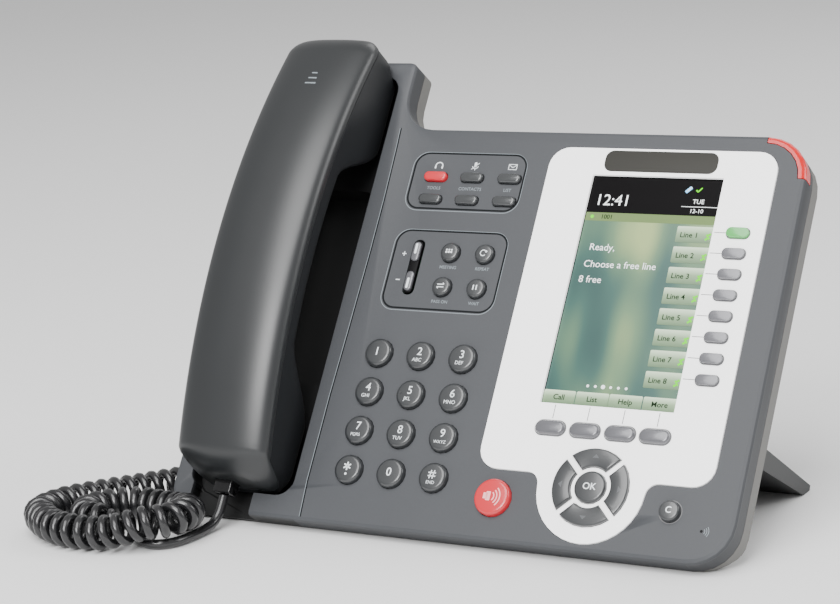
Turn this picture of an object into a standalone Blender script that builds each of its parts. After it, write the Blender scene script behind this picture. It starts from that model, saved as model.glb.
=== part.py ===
"""Desk IP phone: sloping console, handset in a cradle, keys, colour display and a folding stand.

Everything on the console is laid out in the face frame: U runs to the right, V up the slope from the
bottom edge, N out of the face, whose plane is N = 0. The face frame is then tilted onto the desk.
"""
import bpy
import bmesh
import math
from mathutils import Matrix, Vector

# ---- driving dimensions, in metres and degrees ----
FACE_TILT = 55.0            # slope of the face above the desk
BODY_WIDTH = 0.236
FACE_LENGTH = 0.1683        # bottom edge to the top edge right of the cradle
HEAD_LENGTH = 0.1985        # bottom edge to the top of the cradle head
HEAD_SIDE_U = -0.058        # right side of the cradle head
HEAD_FILLET = 0.015
CORNER_TOP_RIGHT = 0.0178
CORNER_BOTTOM_RIGHT = 0.016
CORNER_LEFT = 0.010
CORNER_HEAD = 0.003
RIM_CHAMFER = 0.0016
WALL = 0.0024
COVER_DEPTH = 0.0087        # the cover's outer wall, down from the face
SHELL_DEPTH = 0.0155        # underside of the shallow part of the bottom shell
SHELL_GAP = 0.0003
FRONT_EDGE_N = -0.010       # the bottom edge that the phone stands on
SINK = 0.0006               # flattened off that edge where it meets the desk

HUMP_HALF_WIDTH = 0.104
HUMP_DEPTH = 0.038
HUMP_TOP_V = 0.150
HUMP_START_V = 0.002
HEAD_HUMP_HIGH_U = -0.064   # shallower hump behind the cradle head, for the hook switch
HEAD_HUMP_TOP_V = 0.184
HEAD_HUMP_DEPTH = 0.026
HEAD_HUMP_SIDE = 0.002
UNDERSIDE_CORNER_V = 0.050  # the sloping underside meets the hump's flat back here
BOSS_RADIUS = 0.0028
BOSS_PLACES = ((-0.046, 0.030), (0.100, 0.030), (-0.046, 0.136), (0.095, 0.136))

RECESS_DEPTH = 0.008        # cradle floor under the handset's cups
RECESS_LOW = (-0.1105, 0.009)
RECESS_HIGH = (-0.0635, 0.1915)
RECESS_CORNER = 0.007
RECESS_WALL = 0.0012
WELL_DEPTH = 0.018          # deeper well that fingers reach into
WELL_LOW = (-0.0995, 0.058)
WELL_HIGH = (-0.0645, 0.143)
NOTCH_LOW_U = -0.1085       # opening in the front edge where the cord leaves the handset
NOTCH_HIGH_U = -0.0800
NOTCH_DEPTH = 0.0066
FLOOR_WALL = 0.0018

BEZEL_LOW = (0.0128, 0.0283)
BEZEL_HIGH = (0.1067, 0.1612)
BEZEL_CORNER = 0.008
BEZEL_THICKNESS = 0.0012
BEZEL_PROUD = 0.0003
BEZEL_SEAT_GAP = 0.0003
BEZEL_LEDGE = 0.0030
TONGUE_FILLET = 0.005
DISPLAY_LOW = (0.0325, 0.0556)
DISPLAY_SIZE = (0.05386, 0.0943)
DISPLAY_BORDER = 0.003
DISPLAY_THICKNESS = 0.0042

KEY_CLEARANCE = 0.00025
KEY_TRAVEL = 0.0009
KEY_FLANGE = 0.0007
KEY_FLANGE_THICKNESS = 0.0012
KEY_FLANGE_GAP = 0.0004
KEY_EDGE = 0.0006
KEY_CORNER = 0.45           # corner radius of a bar key, as a share of its width

DIAL_RADIUS = 0.0058
DIAL_HEIGHT = 0.0025
DIAL_FIRST = (-0.0403, 0.0702)
DIAL_PITCH = (0.01835, 0.01607)
DIAL_ROWS = (("1", "2", "3"), ("4", "5", "6"), ("7", "8", "9"), ("star", "0", "hash"))

BAR_KEY_SIZE = (0.0100, 0.0040)
BAR_KEY_HEIGHT = 0.0018
BAR_KEYS = {"headset": (-0.0354, 0.1467), "mute": (-0.0192, 0.1467), "message": (-0.0027, 0.1467),
            "service": (-0.0354, 0.1369), "directory": (-0.0192, 0.1369), "menu": (-0.0027, 0.1369)}
CALL_KEY_RADIUS = 0.0040
CALL_KEY_HEIGHT = 0.0022
CALL_KEYS = {"conference": (-0.0202, 0.1140), "redial": (-0.0052, 0.1140),
             "transfer": (-0.0202, 0.0994), "hold": (-0.0052, 0.0994)}
SPEAKER_KEY = (0.0227, 0.0167)
SPEAKER_KEY_RADIUS = 0.0072
CANCEL_KEY = (0.0930, 0.0183)
CANCEL_KEY_RADIUS = 0.0040

ROCKER_PLACE = (-0.0352, 0.1074)
ROCKER_SIZE = (0.0044, 0.0229)
ROCKER_HEIGHT = 0.0016
ROCKER_PIVOT_N = -0.0030
ROCKER_ROOT = 0.0011
ROCKER_CLEARANCE = 0.0004

LINE_KEY_SIZE = (0.0088, 0.0039)
LINE_KEY_HEIGHT = 0.0016
LINE_KEY_FIRST = (0.0965, 0.1276)
LINE_KEY_PITCH = 0.00839
LINE_KEY_COUNT = 8
SOFT_KEY_SIZE = (0.0120, 0.0056)
SOFT_KEY_HEIGHT = 0.0018
SOFT_KEY_PLACES = ((0.0392, 0.0458), (0.0532, 0.0458), (0.0673, 0.0458), (0.0811, 0.0458))
NAV_CENTRE = (0.0605, 0.0243)
NAV_INNER = 0.0080
NAV_OUTER = 0.0150
NAV_ARM = 0.0022            # width of the diagonal arms between the arrow keys
NAV_HEIGHT = 0.0016
OK_RADIUS = 0.0062
OK_HEIGHT = 0.0018
TONGUE_RADIUS = 0.0213

BOARD_LOW = (-0.0530, 0.0130)
BOARD_HIGH = (0.1080, 0.1500)
BOARD_TOP_N = -0.0100
BOARD_THICKNESS = 0.0016

LAMP_WIDTH = 0.0029
LAMP_DEPTH = 0.0060
LAMP_GAP = 0.0003
LAMP_START = 2.0            # degrees round the corner, from the right side towards the top
LAMP_END = 89.0

SPEAKER_CENTRE = (-0.087, 0.105)
SPEAKER_RADIUS = 0.0135
SPEAKER_MAGNET_RADIUS = 0.008
SPEAKER_TOP_N = -0.0205
SPEAKER_FRAME_THICKNESS = 0.005
SPEAKER_MAGNET_THICKNESS = 0.006

HOOK_CENTRE = (-0.087, 0.168)
HOOK_SIZE = (0.008, 0.012)
HOOK_TRAVEL = 0.003
HOOK_FLANGE = 0.0012
HOOK_CLEARANCE = 0.0004

HANDSET_CENTRE_U = -0.086
HANDSET_WIDTH = 0.041
HANDSET_LOW_V = 0.0105
HANDSET_HIGH_V = 0.1990
HANDSET_ARCH_V = 0.106      # the arch of the handset is highest here
HANDSET_ARCH_N = 0.0313
HANDSET_ARCH_RATE = 1.8     # drop of the arch per square metre of distance
HANDSET_CROWN = 0.0075
HANDSET_GRIP = 0.0110       # depth of the grip below the seam
HANDSET_END_RADIUS = 0.009
CUP_BOTTOM_N = -0.0060
EAR_CUP_END = (0.1893, 0.1905)      # past the ear cup the handset overhangs the cradle head
OVERHANG_N = 0.0008
MOUTH_CUP = (0.036, 0.066)  # where the mouth cup rises into the grip
EAR_CUP = (0.136, 0.160)
MOUTH_WRAP = 0.0165         # the outer shell turns down this far over the mouth end
MOUTH_WRAP_END = 0.0185
HANDSET_STATIONS = (0.014, 0.0165, 0.0185, 0.024, 0.034, 0.042, 0.048, 0.054, 0.060, 0.068, 0.085, 0.105,
                    0.122, 0.136, 0.142, 0.148, 0.154, 0.162)
END_STEPS = (0.02, 0.16, 0.5, 1.0)      # shares of the end radius where the rounded ends have a section
CROWN_SECTION = ((1.0, 0.0), (0.96, 0.32), (0.81, 0.66), (0.50, 0.91), (0.0, 1.0))
THINNEST_END = 0.15         # share of the crown left at the very ends
GRIP_DRAFT = (0.0005, 0.0018, 0.0055)   # how far the inner shell's sides draw in going down
GRIP_CORNER = 0.0035
SEAM_GAP = 0.0003
RECEIVER_RADIUS = 0.014
TRANSMITTER_RADIUS = 0.0095
CAPSULE_THICKNESS = 0.007
CAPSULE_FLOOR = 0.0025
CAPSULE_GAP = 0.0004
RECEIVER_V = 0.176
TRANSMITTER_V = 0.029

PLUG_SIZE = (0.0077, 0.0062)
PLUG_CLEARANCE = 0.0003
HANDSET_PLUG_U = -0.0895
HANDSET_PLUG_N = 0.0050
HANDSET_PLUG_LOW_V = 0.0055
HANDSET_PLUG_LENGTH = 0.0110
BASE_PLUG_V = 0.050
BASE_PLUG_N = -0.033
BASE_PLUG_LENGTH = 0.0130
BASE_PLUG_INSERT = 0.0040

STAND_HINGE_V = 0.052
STAND_HINGE_N = -0.0415
STAND_WIDTH = 0.2128
STAND_LENGTH = 0.0580
STAND_OPEN = 278.15         # direction of the open stand, from V towards N
STAND_INNER = -0.0006       # the leaf's inner face, off the hinge axis
STAND_THICKNESS = 0.0025
STAND_CHEEK = 0.0020
STAND_CHEEK_ROOT = 0.0076
STAND_CHEEK_TIP = 0.0046
KNUCKLE_RADIUS = 0.0027
KNUCKLE_START = 0.0722
KNUCKLE_END = 0.1030
PIN_RADIUS = 0.0012
PIN_HOLE_RADIUS = 0.0015
PIN_LENGTH = 0.0075
LUG_WIDTH = 0.0055
LUG_GAP = 0.0004
LUG_REACH = 0.006
LUG_HALF = 0.0019
STAND_RELIEF_GAP = 0.00025

CORD_DIAMETER = 0.0037
CURL_DIAMETER = 0.0136
CORD_GAP = 0.0003
CORD_ROUTE_HALF_WIDTH = 0.118    # body half width that the cord's routes are drawn for
LEAD_FOLLOWS = 7             # points of the handset lead that move along with the curl
DESK_SHIFT = Vector((0.0, -0.0502, 0.0))    # puts the middle of the footprint over the origin

# ---- colours ----
CHARCOAL = (0.050, 0.053, 0.058)
HANDSET_GREY = (0.030, 0.034, 0.037)
KEY_GREY = (0.075, 0.080, 0.085)
SILVER_GREY = (0.30, 0.31, 0.31)
WHITE = (0.86, 0.86, 0.84)
RED = (0.65, 0.02, 0.03)
GREEN = (0.04, 0.45, 0.10)
BLACK = (0.012, 0.012, 0.013)
METAL = (0.55, 0.55, 0.52)
BOARD_GREEN = (0.03, 0.16, 0.06)

ARC_STEPS = 6
ROUND_STEPS = 16
FINE_STEPS = 24
PIN_STEPS = 12
BAR_STEPS = 3
EPS = 1e-6
SMOOTH_ANGLE = 35.0


def clear_scene():
    for obj in list(bpy.data.objects):
        bpy.data.objects.remove(obj, do_unlink=True)


def make_collection(name):
    collection = bpy.data.collections.new(name)
    bpy.context.scene.collection.children.link(collection)
    return collection


def make_material(name, colour, roughness, metallic=0.0):
    material = bpy.data.materials.new(name)
    material.use_nodes = True
    shader = material.node_tree.nodes["Principled BSDF"]
    shader.inputs["Base Color"].default_value = (*colour, 1.0)
    shader.inputs["Roughness"].default_value = roughness
    shader.inputs["Metallic"].default_value = metallic
    return material


clear_scene()
PARTS = make_collection("desk_ip_phone")
CUTTERS = make_collection("cutters")
FACE = bpy.data.objects.new("face_frame", None)
PARTS.objects.link(FACE)
TILT = math.radians(FACE_TILT)
FACE_ROTATION = Matrix.Rotation(TILT, 4, "X")
FRONT_EDGE = Vector((0.0, 0.0, FRONT_EDGE_N))
FACE.matrix_world = (Matrix.Translation(DESK_SHIFT - Vector((0.0, 0.0, SINK)))
                     @ FACE_ROTATION @ Matrix.Translation(-FRONT_EDGE))


# ---- outlines in the face plane ----

def outline(corners, inset=0.0, steps=ARC_STEPS):
    """Rounded outline of a counter-clockwise polygon of (u, v, radius), drawn in by inset."""
    points = []
    count = len(corners)
    for index in range(count):
        before = Vector(corners[index - 1][:2])
        here = Vector(corners[index][:2])
        after = Vector(corners[(index + 1) % count][:2])
        radius = corners[index][2]
        incoming = (here - before).normalized()
        outgoing = (after - here).normalized()
        turn = incoming.x * outgoing.y - incoming.y * outgoing.x
        left_in = Vector((-incoming.y, incoming.x))
        left_out = Vector((-outgoing.y, outgoing.x))
        side = 1.0 if turn > 0 else -1.0
        bisector = (left_in + left_out).normalized()
        spread = bisector.dot(left_in)
        centre = here + bisector * (side * radius / spread)
        reach = max(radius - side * inset, 0.0)
        if reach <= EPS:
            points.append(here + bisector * (inset / spread))
            continue
        start = math.atan2(-side * left_in.y, -side * left_in.x)
        sweep = math.acos(max(-1.0, min(1.0, left_in.dot(left_out)))) * side
        for step in range(steps + 1):
            angle = start + sweep * step / steps
            points.append(centre + Vector((math.cos(angle), math.sin(angle))) * reach)
    return points


def rectangle(low, high, radius):
    return ((low[0], low[1], radius), (high[0], low[1], radius),
            (high[0], high[1], radius), (low[0], high[1], radius))


def rectangle_about(centre, size, radius):
    half = (size[0] / 2, size[1] / 2)
    return rectangle((centre[0] - half[0], centre[1] - half[1]),
                     (centre[0] + half[0], centre[1] + half[1]), radius)


def circle(centre, radius, steps=ROUND_STEPS):
    points = []
    for step in range(steps):
        angle = 2 * math.pi * step / steps
        points.append(Vector((centre[0] + radius * math.cos(angle), centre[1] + radius * math.sin(angle))))
    return points


def nav_sector(direction, grow=0.0):
    """One quarter of the ring round the OK key, with sides parallel to the diagonal arms."""
    inner = NAV_INNER - grow
    outer = NAV_OUTER + grow
    arm = NAV_ARM / 2 + KEY_CLEARANCE - grow
    points = []
    for radius, sign in ((inner, -1), (outer, 1)):
        half = math.pi / 4 - math.asin(arm / radius)
        for step in range(ARC_STEPS + 1):
            angle = direction + sign * (2 * step / ARC_STEPS - 1) * half
            points.append(Vector((radius * math.cos(angle), radius * math.sin(angle))))
    points.reverse()
    if sum(a.x * b.y - a.y * b.x for a, b in zip(points, points[1:] + points[:1])) < 0:
        points.reverse()
    return points


BODY_CORNERS = ((-BODY_WIDTH / 2, 0.0, CORNER_LEFT), (BODY_WIDTH / 2, 0.0, CORNER_BOTTOM_RIGHT),
                (BODY_WIDTH / 2, FACE_LENGTH, CORNER_TOP_RIGHT), (HEAD_SIDE_U, FACE_LENGTH, HEAD_FILLET),
                (HEAD_SIDE_U, HEAD_LENGTH, CORNER_HEAD), (-BODY_WIDTH / 2, HEAD_LENGTH, CORNER_LEFT))


def bezel_outline(inset=0.0):
    """The white plate: a rounded rectangle with a round tongue about the navigation keys."""
    box = outline(rectangle(BEZEL_LOW, BEZEL_HIGH, BEZEL_CORNER), inset)
    corner = len(box) // 4
    radius = TONGUE_RADIUS - inset
    fillet = TONGUE_FILLET + inset
    fillet_v = BEZEL_LOW[1] + inset - fillet
    rise = fillet_v - NAV_CENTRE[1]
    half = math.sqrt((radius + fillet) ** 2 - rise ** 2)
    touch = math.atan2(rise, half)
    left = []
    for step in range(ARC_STEPS + 1):
        angle = math.pi / 2 - (math.pi / 2 + touch) * step / ARC_STEPS
        left.append(Vector((NAV_CENTRE[0] - half + fillet * math.cos(angle),
                            fillet_v + fillet * math.sin(angle))))
    tongue = []
    steps = 3 * ARC_STEPS
    for step in range(1, steps):
        angle = math.pi - touch + (math.pi + 2 * touch) * step / steps
        tongue.append(Vector((NAV_CENTRE[0] + radius * math.cos(angle),
                              NAV_CENTRE[1] + radius * math.sin(angle))))
    right = [Vector((2 * NAV_CENTRE[0] - point.x, point.y)) for point in reversed(left)]
    return box[:corner] + left + tongue + right + box[corner:]


# ---- mesh tools ----

def finish_object(obj, collection, material=None, parent=FACE):
    collection.objects.link(obj)
    obj.parent = parent
    if material is not None:
        obj.data.materials.clear()
        obj.data.materials.append(material)
    if collection is CUTTERS:
        obj.hide_render = True
        obj.display_type = "WIRE"
    return obj


def mesh_object(name, bm):
    bmesh.ops.recalc_face_normals(bm, faces=bm.faces)
    mesh = bpy.data.meshes.new(name)
    bm.to_mesh(mesh)
    bm.free()
    return bpy.data.objects.new(name, mesh)


def slab(name, points, low, high):
    """A flat slab without holes: one face, extruded."""
    bm = bmesh.new()
    face = bm.faces.new([bm.verts.new((point.x, point.y, low)) for point in points])
    raised = bmesh.ops.extrude_face_region(bm, geom=[face])
    verts = [item for item in raised["geom"] if isinstance(item, bmesh.types.BMVert)]
    bmesh.ops.translate(bm, verts=verts, vec=(0.0, 0.0, high - low))
    return mesh_object(name, bm)


def plate(name, outlines, low, high):
    """A flat plate between two heights; outlines inside others are holes."""
    if len(outlines) == 1:
        return slab(name, outlines[0], low, high)
    curve = bpy.data.curves.new(name, "CURVE")
    curve.dimensions = "2D"
    curve.fill_mode = "BOTH"
    curve.extrude = (high - low) / 2
    for points in outlines:
        spline = curve.splines.new("POLY")
        spline.points.add(len(points) - 1)
        spline.use_cyclic_u = True
        for target, point in zip(spline.points, points):
            target.co = (point.x, point.y, 0.0, 1.0)
    holder = bpy.data.objects.new(name + "_curve", curve)
    bpy.context.scene.collection.objects.link(holder)
    bpy.context.view_layer.update()
    evaluated = holder.evaluated_get(bpy.context.evaluated_depsgraph_get())
    mesh = bpy.data.meshes.new_from_object(evaluated)
    bpy.data.objects.remove(holder, do_unlink=True)
    bpy.data.curves.remove(curve)
    bm = bmesh.new()
    bm.from_mesh(mesh)
    bpy.data.meshes.remove(mesh)
    bmesh.ops.remove_doubles(bm, verts=bm.verts, dist=EPS)
    bmesh.ops.translate(bm, verts=bm.verts, vec=(0.0, 0.0, (high + low) / 2))
    return mesh_object(name, bm)


def edit(obj, change, *values):
    bm = bmesh.new()
    bm.from_mesh(obj.data)
    change(bm, *values)
    bmesh.ops.recalc_face_normals(bm, faces=bm.faces)
    bm.to_mesh(obj.data)
    bm.free()
    return obj


def bevel_rim(bm, height, width, segments):
    """Bevels the edges round the flat faces at a height."""
    def level(vert):
        return abs(vert.co.z - height) < EPS
    rims = []
    for edge in bm.edges:
        if level(edge.verts[0]) and level(edge.verts[1]):
            walls = [face for face in edge.link_faces if abs(face.normal.z) < 0.5]
            if len(walls) == 1:
                rims.append(edge)
    bmesh.ops.bevel(bm, geom=rims, offset=width, offset_type="OFFSET", segments=segments, profile=0.5,
                    affect="EDGES", clamp_overlap=True, material=-1)


def box(name, low, high):
    bm = bmesh.new()
    bmesh.ops.create_cube(bm, size=1.0)
    size = Vector(high) - Vector(low)
    bmesh.ops.scale(bm, vec=size, verts=bm.verts)
    bmesh.ops.translate(bm, vec=(Vector(high) + Vector(low)) / 2, verts=bm.verts)
    return mesh_object(name, bm)


def drum(name, centre, radius, low, high, steps=ROUND_STEPS):
    bm = bmesh.new()
    bmesh.ops.create_cone(bm, cap_ends=True, segments=steps, radius1=radius, radius2=radius,
                          depth=high - low)
    bmesh.ops.translate(bm, vec=(centre[0], centre[1], (low + high) / 2), verts=bm.verts)
    return mesh_object(name, bm)


def rod(name, radius, low_u, high_u, centre=(0.0, 0.0), steps=ROUND_STEPS):
    """A cylinder along U."""
    bm = bmesh.new()
    bmesh.ops.create_cone(bm, cap_ends=True, segments=steps, radius1=radius, radius2=radius,
                          depth=high_u - low_u)
    bmesh.ops.rotate(bm, verts=bm.verts, matrix=Matrix.Rotation(math.pi / 2, 3, "Y"))
    bmesh.ops.translate(bm, vec=((low_u + high_u) / 2, centre[0], centre[1]), verts=bm.verts)
    return mesh_object(name, bm)


def boolean(obj, operation, *tools, parent=FACE):
    for tool in tools:
        finish_object(tool, CUTTERS, parent=parent)
        modifier = obj.modifiers.new(tool.name, "BOOLEAN")
        modifier.operation = operation
        modifier.solver = "EXACT"
        modifier.object = tool
    return obj


def smooth_round(obj):
    obj.data.shade_smooth()
    obj.data.set_sharp_from_angle(angle=math.radians(SMOOTH_ANGLE))
    return obj


# ---- keys ----

def key_cap(name, place, points, height, material, flange_top, outset):
    """A key cap with a flange under the cover, its origin on the face plane at its own centre."""
    flange_low = flange_top - KEY_FLANGE_THICKNESS
    cap = plate(name, [outset(KEY_FLANGE)], flange_low, flange_top)
    neck = plate(name + "_cap", [points], flange_low + KEY_FLANGE_THICKNESS / 2, height)
    edit(neck, bevel_rim, height, KEY_EDGE, 1)
    finish_object(cap, PARTS, material)
    cap.location = (place[0], place[1], 0.0)
    boolean(cap, "UNION", neck, parent=cap)
    return smooth_round(cap)


def flange_height(under):
    return under - KEY_FLANGE_GAP


UNDER_COVER = flange_height(-WALL)
UNDER_BEZEL = flange_height(BEZEL_PROUD - BEZEL_THICKNESS)


def round_key(name, place, radius, height, material, flange_top):
    return key_cap(name, place, circle((0, 0), radius), height, material, flange_top,
                   lambda grow: circle((0, 0), radius + grow))


def bar_key(name, place, size, height, material, flange_top):
    corners = rectangle_about((0, 0), size, min(size) * KEY_CORNER)
    return key_cap(name, place, outline(corners, 0.0, BAR_STEPS), height, material, flange_top,
                   lambda grow: outline(corners, -grow, BAR_STEPS))


def dial_places():
    places = {}
    for row, labels in enumerate(DIAL_ROWS):
        for column, label in enumerate(labels):
            places[label] = (DIAL_FIRST[0] + column * DIAL_PITCH[0], DIAL_FIRST[1] - row * DIAL_PITCH[1])
    return places


def line_key_places():
    first = LINE_KEY_FIRST
    return [(first[0], first[1] - index * LINE_KEY_PITCH) for index in range(LINE_KEY_COUNT)]


NAV_DIRECTIONS = {"right": 0.0, "up": math.pi / 2, "left": math.pi, "down": 1.5 * math.pi}


def make_keys():
    dark = make_material("key_grey", KEY_GREY, 0.45)
    silver = make_material("key_silver", SILVER_GREY, 0.35)
    red = make_material("key_red", RED, 0.3)
    green = make_material("key_green", GREEN, 0.3)
    for label, place in dial_places().items():
        round_key("key_" + label, place, DIAL_RADIUS, DIAL_HEIGHT, dark, UNDER_COVER)
    for label, place in BAR_KEYS.items():
        finish = red if label == "headset" else silver
        bar_key("key_" + label, place, BAR_KEY_SIZE, BAR_KEY_HEIGHT, finish, UNDER_COVER)
    for label, place in CALL_KEYS.items():
        round_key("key_" + label, place, CALL_KEY_RADIUS, CALL_KEY_HEIGHT, dark, UNDER_COVER)
    round_key("key_speaker", SPEAKER_KEY, SPEAKER_KEY_RADIUS, DIAL_HEIGHT, red, UNDER_COVER)
    round_key("key_cancel", CANCEL_KEY, CANCEL_KEY_RADIUS, DIAL_HEIGHT, dark, UNDER_COVER)
    for index, place in enumerate(line_key_places()):
        finish = green if index == 0 else silver
        bar_key("line_key_%d" % (index + 1), place, LINE_KEY_SIZE, LINE_KEY_HEIGHT, finish, UNDER_BEZEL)
    for index, place in enumerate(SOFT_KEY_PLACES):
        bar_key("soft_key_%d" % (index + 1), place, SOFT_KEY_SIZE, SOFT_KEY_HEIGHT, silver, UNDER_BEZEL)
    for label, direction in NAV_DIRECTIONS.items():
        key_cap("nav_" + label, NAV_CENTRE, nav_sector(direction), NAV_HEIGHT, dark, UNDER_BEZEL,
                lambda grow, turn=direction: nav_sector(turn, grow))
    round_key("key_ok", NAV_CENTRE, OK_RADIUS, OK_HEIGHT, dark, UNDER_BEZEL)


def make_rocker():
    """The volume rocker, on a cross pivot at its middle."""
    size = ROCKER_SIZE
    corners = rectangle_about((0, 0), size, size[0] * KEY_CORNER)
    rocker = plate("volume_rocker", [outline(corners, 0.0, BAR_STEPS)], -ROCKER_ROOT,
                   ROCKER_HEIGHT - ROCKER_PIVOT_N)
    edit(rocker, bevel_rim, ROCKER_HEIGHT - ROCKER_PIVOT_N, KEY_EDGE, 1)
    finish_object(rocker, PARTS, bpy.data.materials["key_silver"])
    rocker.location = (ROCKER_PLACE[0], ROCKER_PLACE[1], ROCKER_PIVOT_N)
    return smooth_round(rocker)


# ---- console ----

def key_hole_outlines():
    """Holes through the cover for the keys beside and below the white plate."""
    holes = [circle(place, DIAL_RADIUS + KEY_CLEARANCE) for place in dial_places().values()]
    for place in BAR_KEYS.values():
        corners = rectangle_about(place, BAR_KEY_SIZE, BAR_KEY_SIZE[1] * KEY_CORNER)
        holes.append(outline(corners, -KEY_CLEARANCE, BAR_STEPS))
    holes += [circle(place, CALL_KEY_RADIUS + KEY_CLEARANCE) for place in CALL_KEYS.values()]
    holes.append(circle(SPEAKER_KEY, SPEAKER_KEY_RADIUS + KEY_CLEARANCE))
    holes.append(circle(CANCEL_KEY, CANCEL_KEY_RADIUS + KEY_CLEARANCE))
    corners = rectangle_about(ROCKER_PLACE, ROCKER_SIZE, ROCKER_SIZE[0] * KEY_CORNER)
    holes.append(outline(corners, -ROCKER_CLEARANCE, BAR_STEPS))
    return holes


def lamp_corner():
    return (BODY_WIDTH / 2 - CORNER_TOP_RIGHT, FACE_LENGTH - CORNER_TOP_RIGHT)


def lamp_outline(grow=0.0):
    """The strip round the top right corner that the message lamp fills."""
    outer = CORNER_TOP_RIGHT + grow
    inner = CORNER_TOP_RIGHT - LAMP_WIDTH - grow
    start = math.radians(LAMP_START) - grow / CORNER_TOP_RIGHT
    end = math.radians(LAMP_END) + grow / CORNER_TOP_RIGHT
    centre = Vector(lamp_corner())
    points = []
    for radius, first, last in ((outer, start, end), (inner, end, start)):
        for step in range(ARC_STEPS + 1):
            angle = first + (last - first) * step / ARC_STEPS
            points.append(centre + Vector((math.cos(angle), math.sin(angle))) * radius)
    return points


def hook_outline(grow):
    return outline(rectangle_about(HOOK_CENTRE, HOOK_SIZE, 0.001 + grow), -grow, 1)


def make_top_cover():
    material = make_material("cover_charcoal", CHARCOAL, 0.5)
    cover = plate("top_cover", [outline(BODY_CORNERS)], -COVER_DEPTH, 0.0)
    edit(cover, bevel_rim, 0.0, RIM_CHAMFER, 2)
    finish_object(cover, PARTS, material)
    below = COVER_DEPTH + WALL
    hollow = plate("cover_hollow", [outline(BODY_CORNERS, WALL)], -below, -WALL)
    recess = rectangle(RECESS_LOW, RECESS_HIGH, RECESS_CORNER)
    well = rectangle(WELL_LOW, WELL_HIGH, RECESS_CORNER)
    tray = plate("cradle_tray", [outline(recess, -RECESS_WALL)], -RECESS_DEPTH - RECESS_WALL, -WALL / 2)
    tray_well = plate("cradle_tray_well", [outline(well, -FLOOR_WALL)], -WELL_DEPTH - FLOOR_WALL,
                      -RECESS_DEPTH - RECESS_WALL / 2)
    tray_lip = box("cradle_tray_lip", (NOTCH_LOW_U - WALL, WALL / 2, -NOTCH_DEPTH - FLOOR_WALL),
                   (NOTCH_HIGH_U + WALL, RECESS_LOW[1], -WALL / 3))
    boolean(cover, "DIFFERENCE", hollow)
    boolean(cover, "UNION", tray, tray_well, tray_lip)
    cradle = plate("cradle_recess", [outline(recess)], -RECESS_DEPTH, WALL)
    cradle_well = plate("cradle_well", [outline(well)], -WELL_DEPTH, -RECESS_DEPTH / 2)
    notch = box("cord_notch", (NOTCH_LOW_U, -WALL, -NOTCH_DEPTH),
                (NOTCH_HIGH_U, RECESS_LOW[1] + RECESS_CORNER, WALL))
    hook_hole = plate("hook_hole", [hook_outline(HOOK_CLEARANCE)], -2 * RECESS_DEPTH, -RECESS_DEPTH / 2)
    seat_low = BEZEL_PROUD - BEZEL_THICKNESS - SHELL_GAP
    seat = plate("bezel_seat", [bezel_outline(-BEZEL_SEAT_GAP)], seat_low, WALL)
    window = plate("bezel_window", [bezel_outline(BEZEL_LEDGE)], -2 * WALL, WALL / 2)
    holes = plate("key_holes", key_hole_outlines(), -2 * WALL, WALL)
    lamp = plate("lamp_notch", [lamp_outline(LAMP_GAP)], -LAMP_DEPTH - LAMP_GAP, WALL)
    boolean(cover, "DIFFERENCE", cradle, cradle_well, notch, hook_hole, seat, window, holes, lamp)
    return cover


def make_bezel_plate():
    material = make_material("bezel_white", WHITE, 0.35)
    holes = []
    for place in line_key_places():
        corners = rectangle_about(place, LINE_KEY_SIZE, LINE_KEY_SIZE[1] * KEY_CORNER)
        holes.append(outline(corners, -KEY_CLEARANCE, BAR_STEPS))
    for place in SOFT_KEY_PLACES:
        corners = rectangle_about(place, SOFT_KEY_SIZE, SOFT_KEY_SIZE[1] * KEY_CORNER)
        holes.append(outline(corners, -KEY_CLEARANCE, BAR_STEPS))
    centre = Vector(NAV_CENTRE)
    for direction in NAV_DIRECTIONS.values():
        holes.append([point + centre for point in nav_sector(direction, KEY_CLEARANCE)])
    holes.append(circle(NAV_CENTRE, OK_RADIUS + KEY_CLEARANCE))
    high = (DISPLAY_LOW[0] + DISPLAY_SIZE[0], DISPLAY_LOW[1] + DISPLAY_SIZE[1])
    holes.append(outline(rectangle(DISPLAY_LOW, high, 0.0)))
    bezel = plate("bezel_plate", [bezel_outline()] + holes, BEZEL_PROUD - BEZEL_THICKNESS, BEZEL_PROUD)
    return finish_object(bezel, PARTS, material)


def make_display():
    material = make_material("display_black", BLACK, 0.2)
    border = DISPLAY_BORDER
    top = BEZEL_PROUD - BEZEL_THICKNESS - SHELL_GAP
    low = (DISPLAY_LOW[0] - border, DISPLAY_LOW[1] - border, top - DISPLAY_THICKNESS)
    high = (DISPLAY_LOW[0] + DISPLAY_SIZE[0] + border, DISPLAY_LOW[1] + DISPLAY_SIZE[1] + border, top)
    return finish_object(box("lcd_module", low, high), PARTS, material)


def make_main_board():
    material = make_material("board_green", BOARD_GREEN, 0.5)
    board = plate("main_board", [outline(rectangle(BOARD_LOW, BOARD_HIGH, 0.002), 0.0, 2)],
                  BOARD_TOP_N - BOARD_THICKNESS, BOARD_TOP_N)
    return finish_object(board, PARTS, material)


def make_lamp():
    material = make_material("lamp_red", RED, 0.15)
    lamp = plate("message_lamp", [lamp_outline()], -LAMP_DEPTH, 0.0)
    edit(lamp, bevel_outer_rim)
    return finish_object(lamp, PARTS, material)


def bevel_outer_rim(bm):
    """The lamp's outer edge carries on the cover's chamfer round the corner."""
    centre = Vector(lamp_corner())
    chosen = []
    for edge in bm.edges:
        ends = [vert.co for vert in edge.verts]
        on_top = all(abs(point.z) < EPS for point in ends)
        outside = all((point.xy - centre).length > CORNER_TOP_RIGHT - LAMP_WIDTH / 2 for point in ends)
        if on_top and outside:
            chosen.append(edge)
    bmesh.ops.bevel(bm, geom=chosen, offset=RIM_CHAMFER, offset_type="OFFSET", segments=2, profile=0.5,
                    affect="EDGES", clamp_overlap=True, material=-1)


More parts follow.
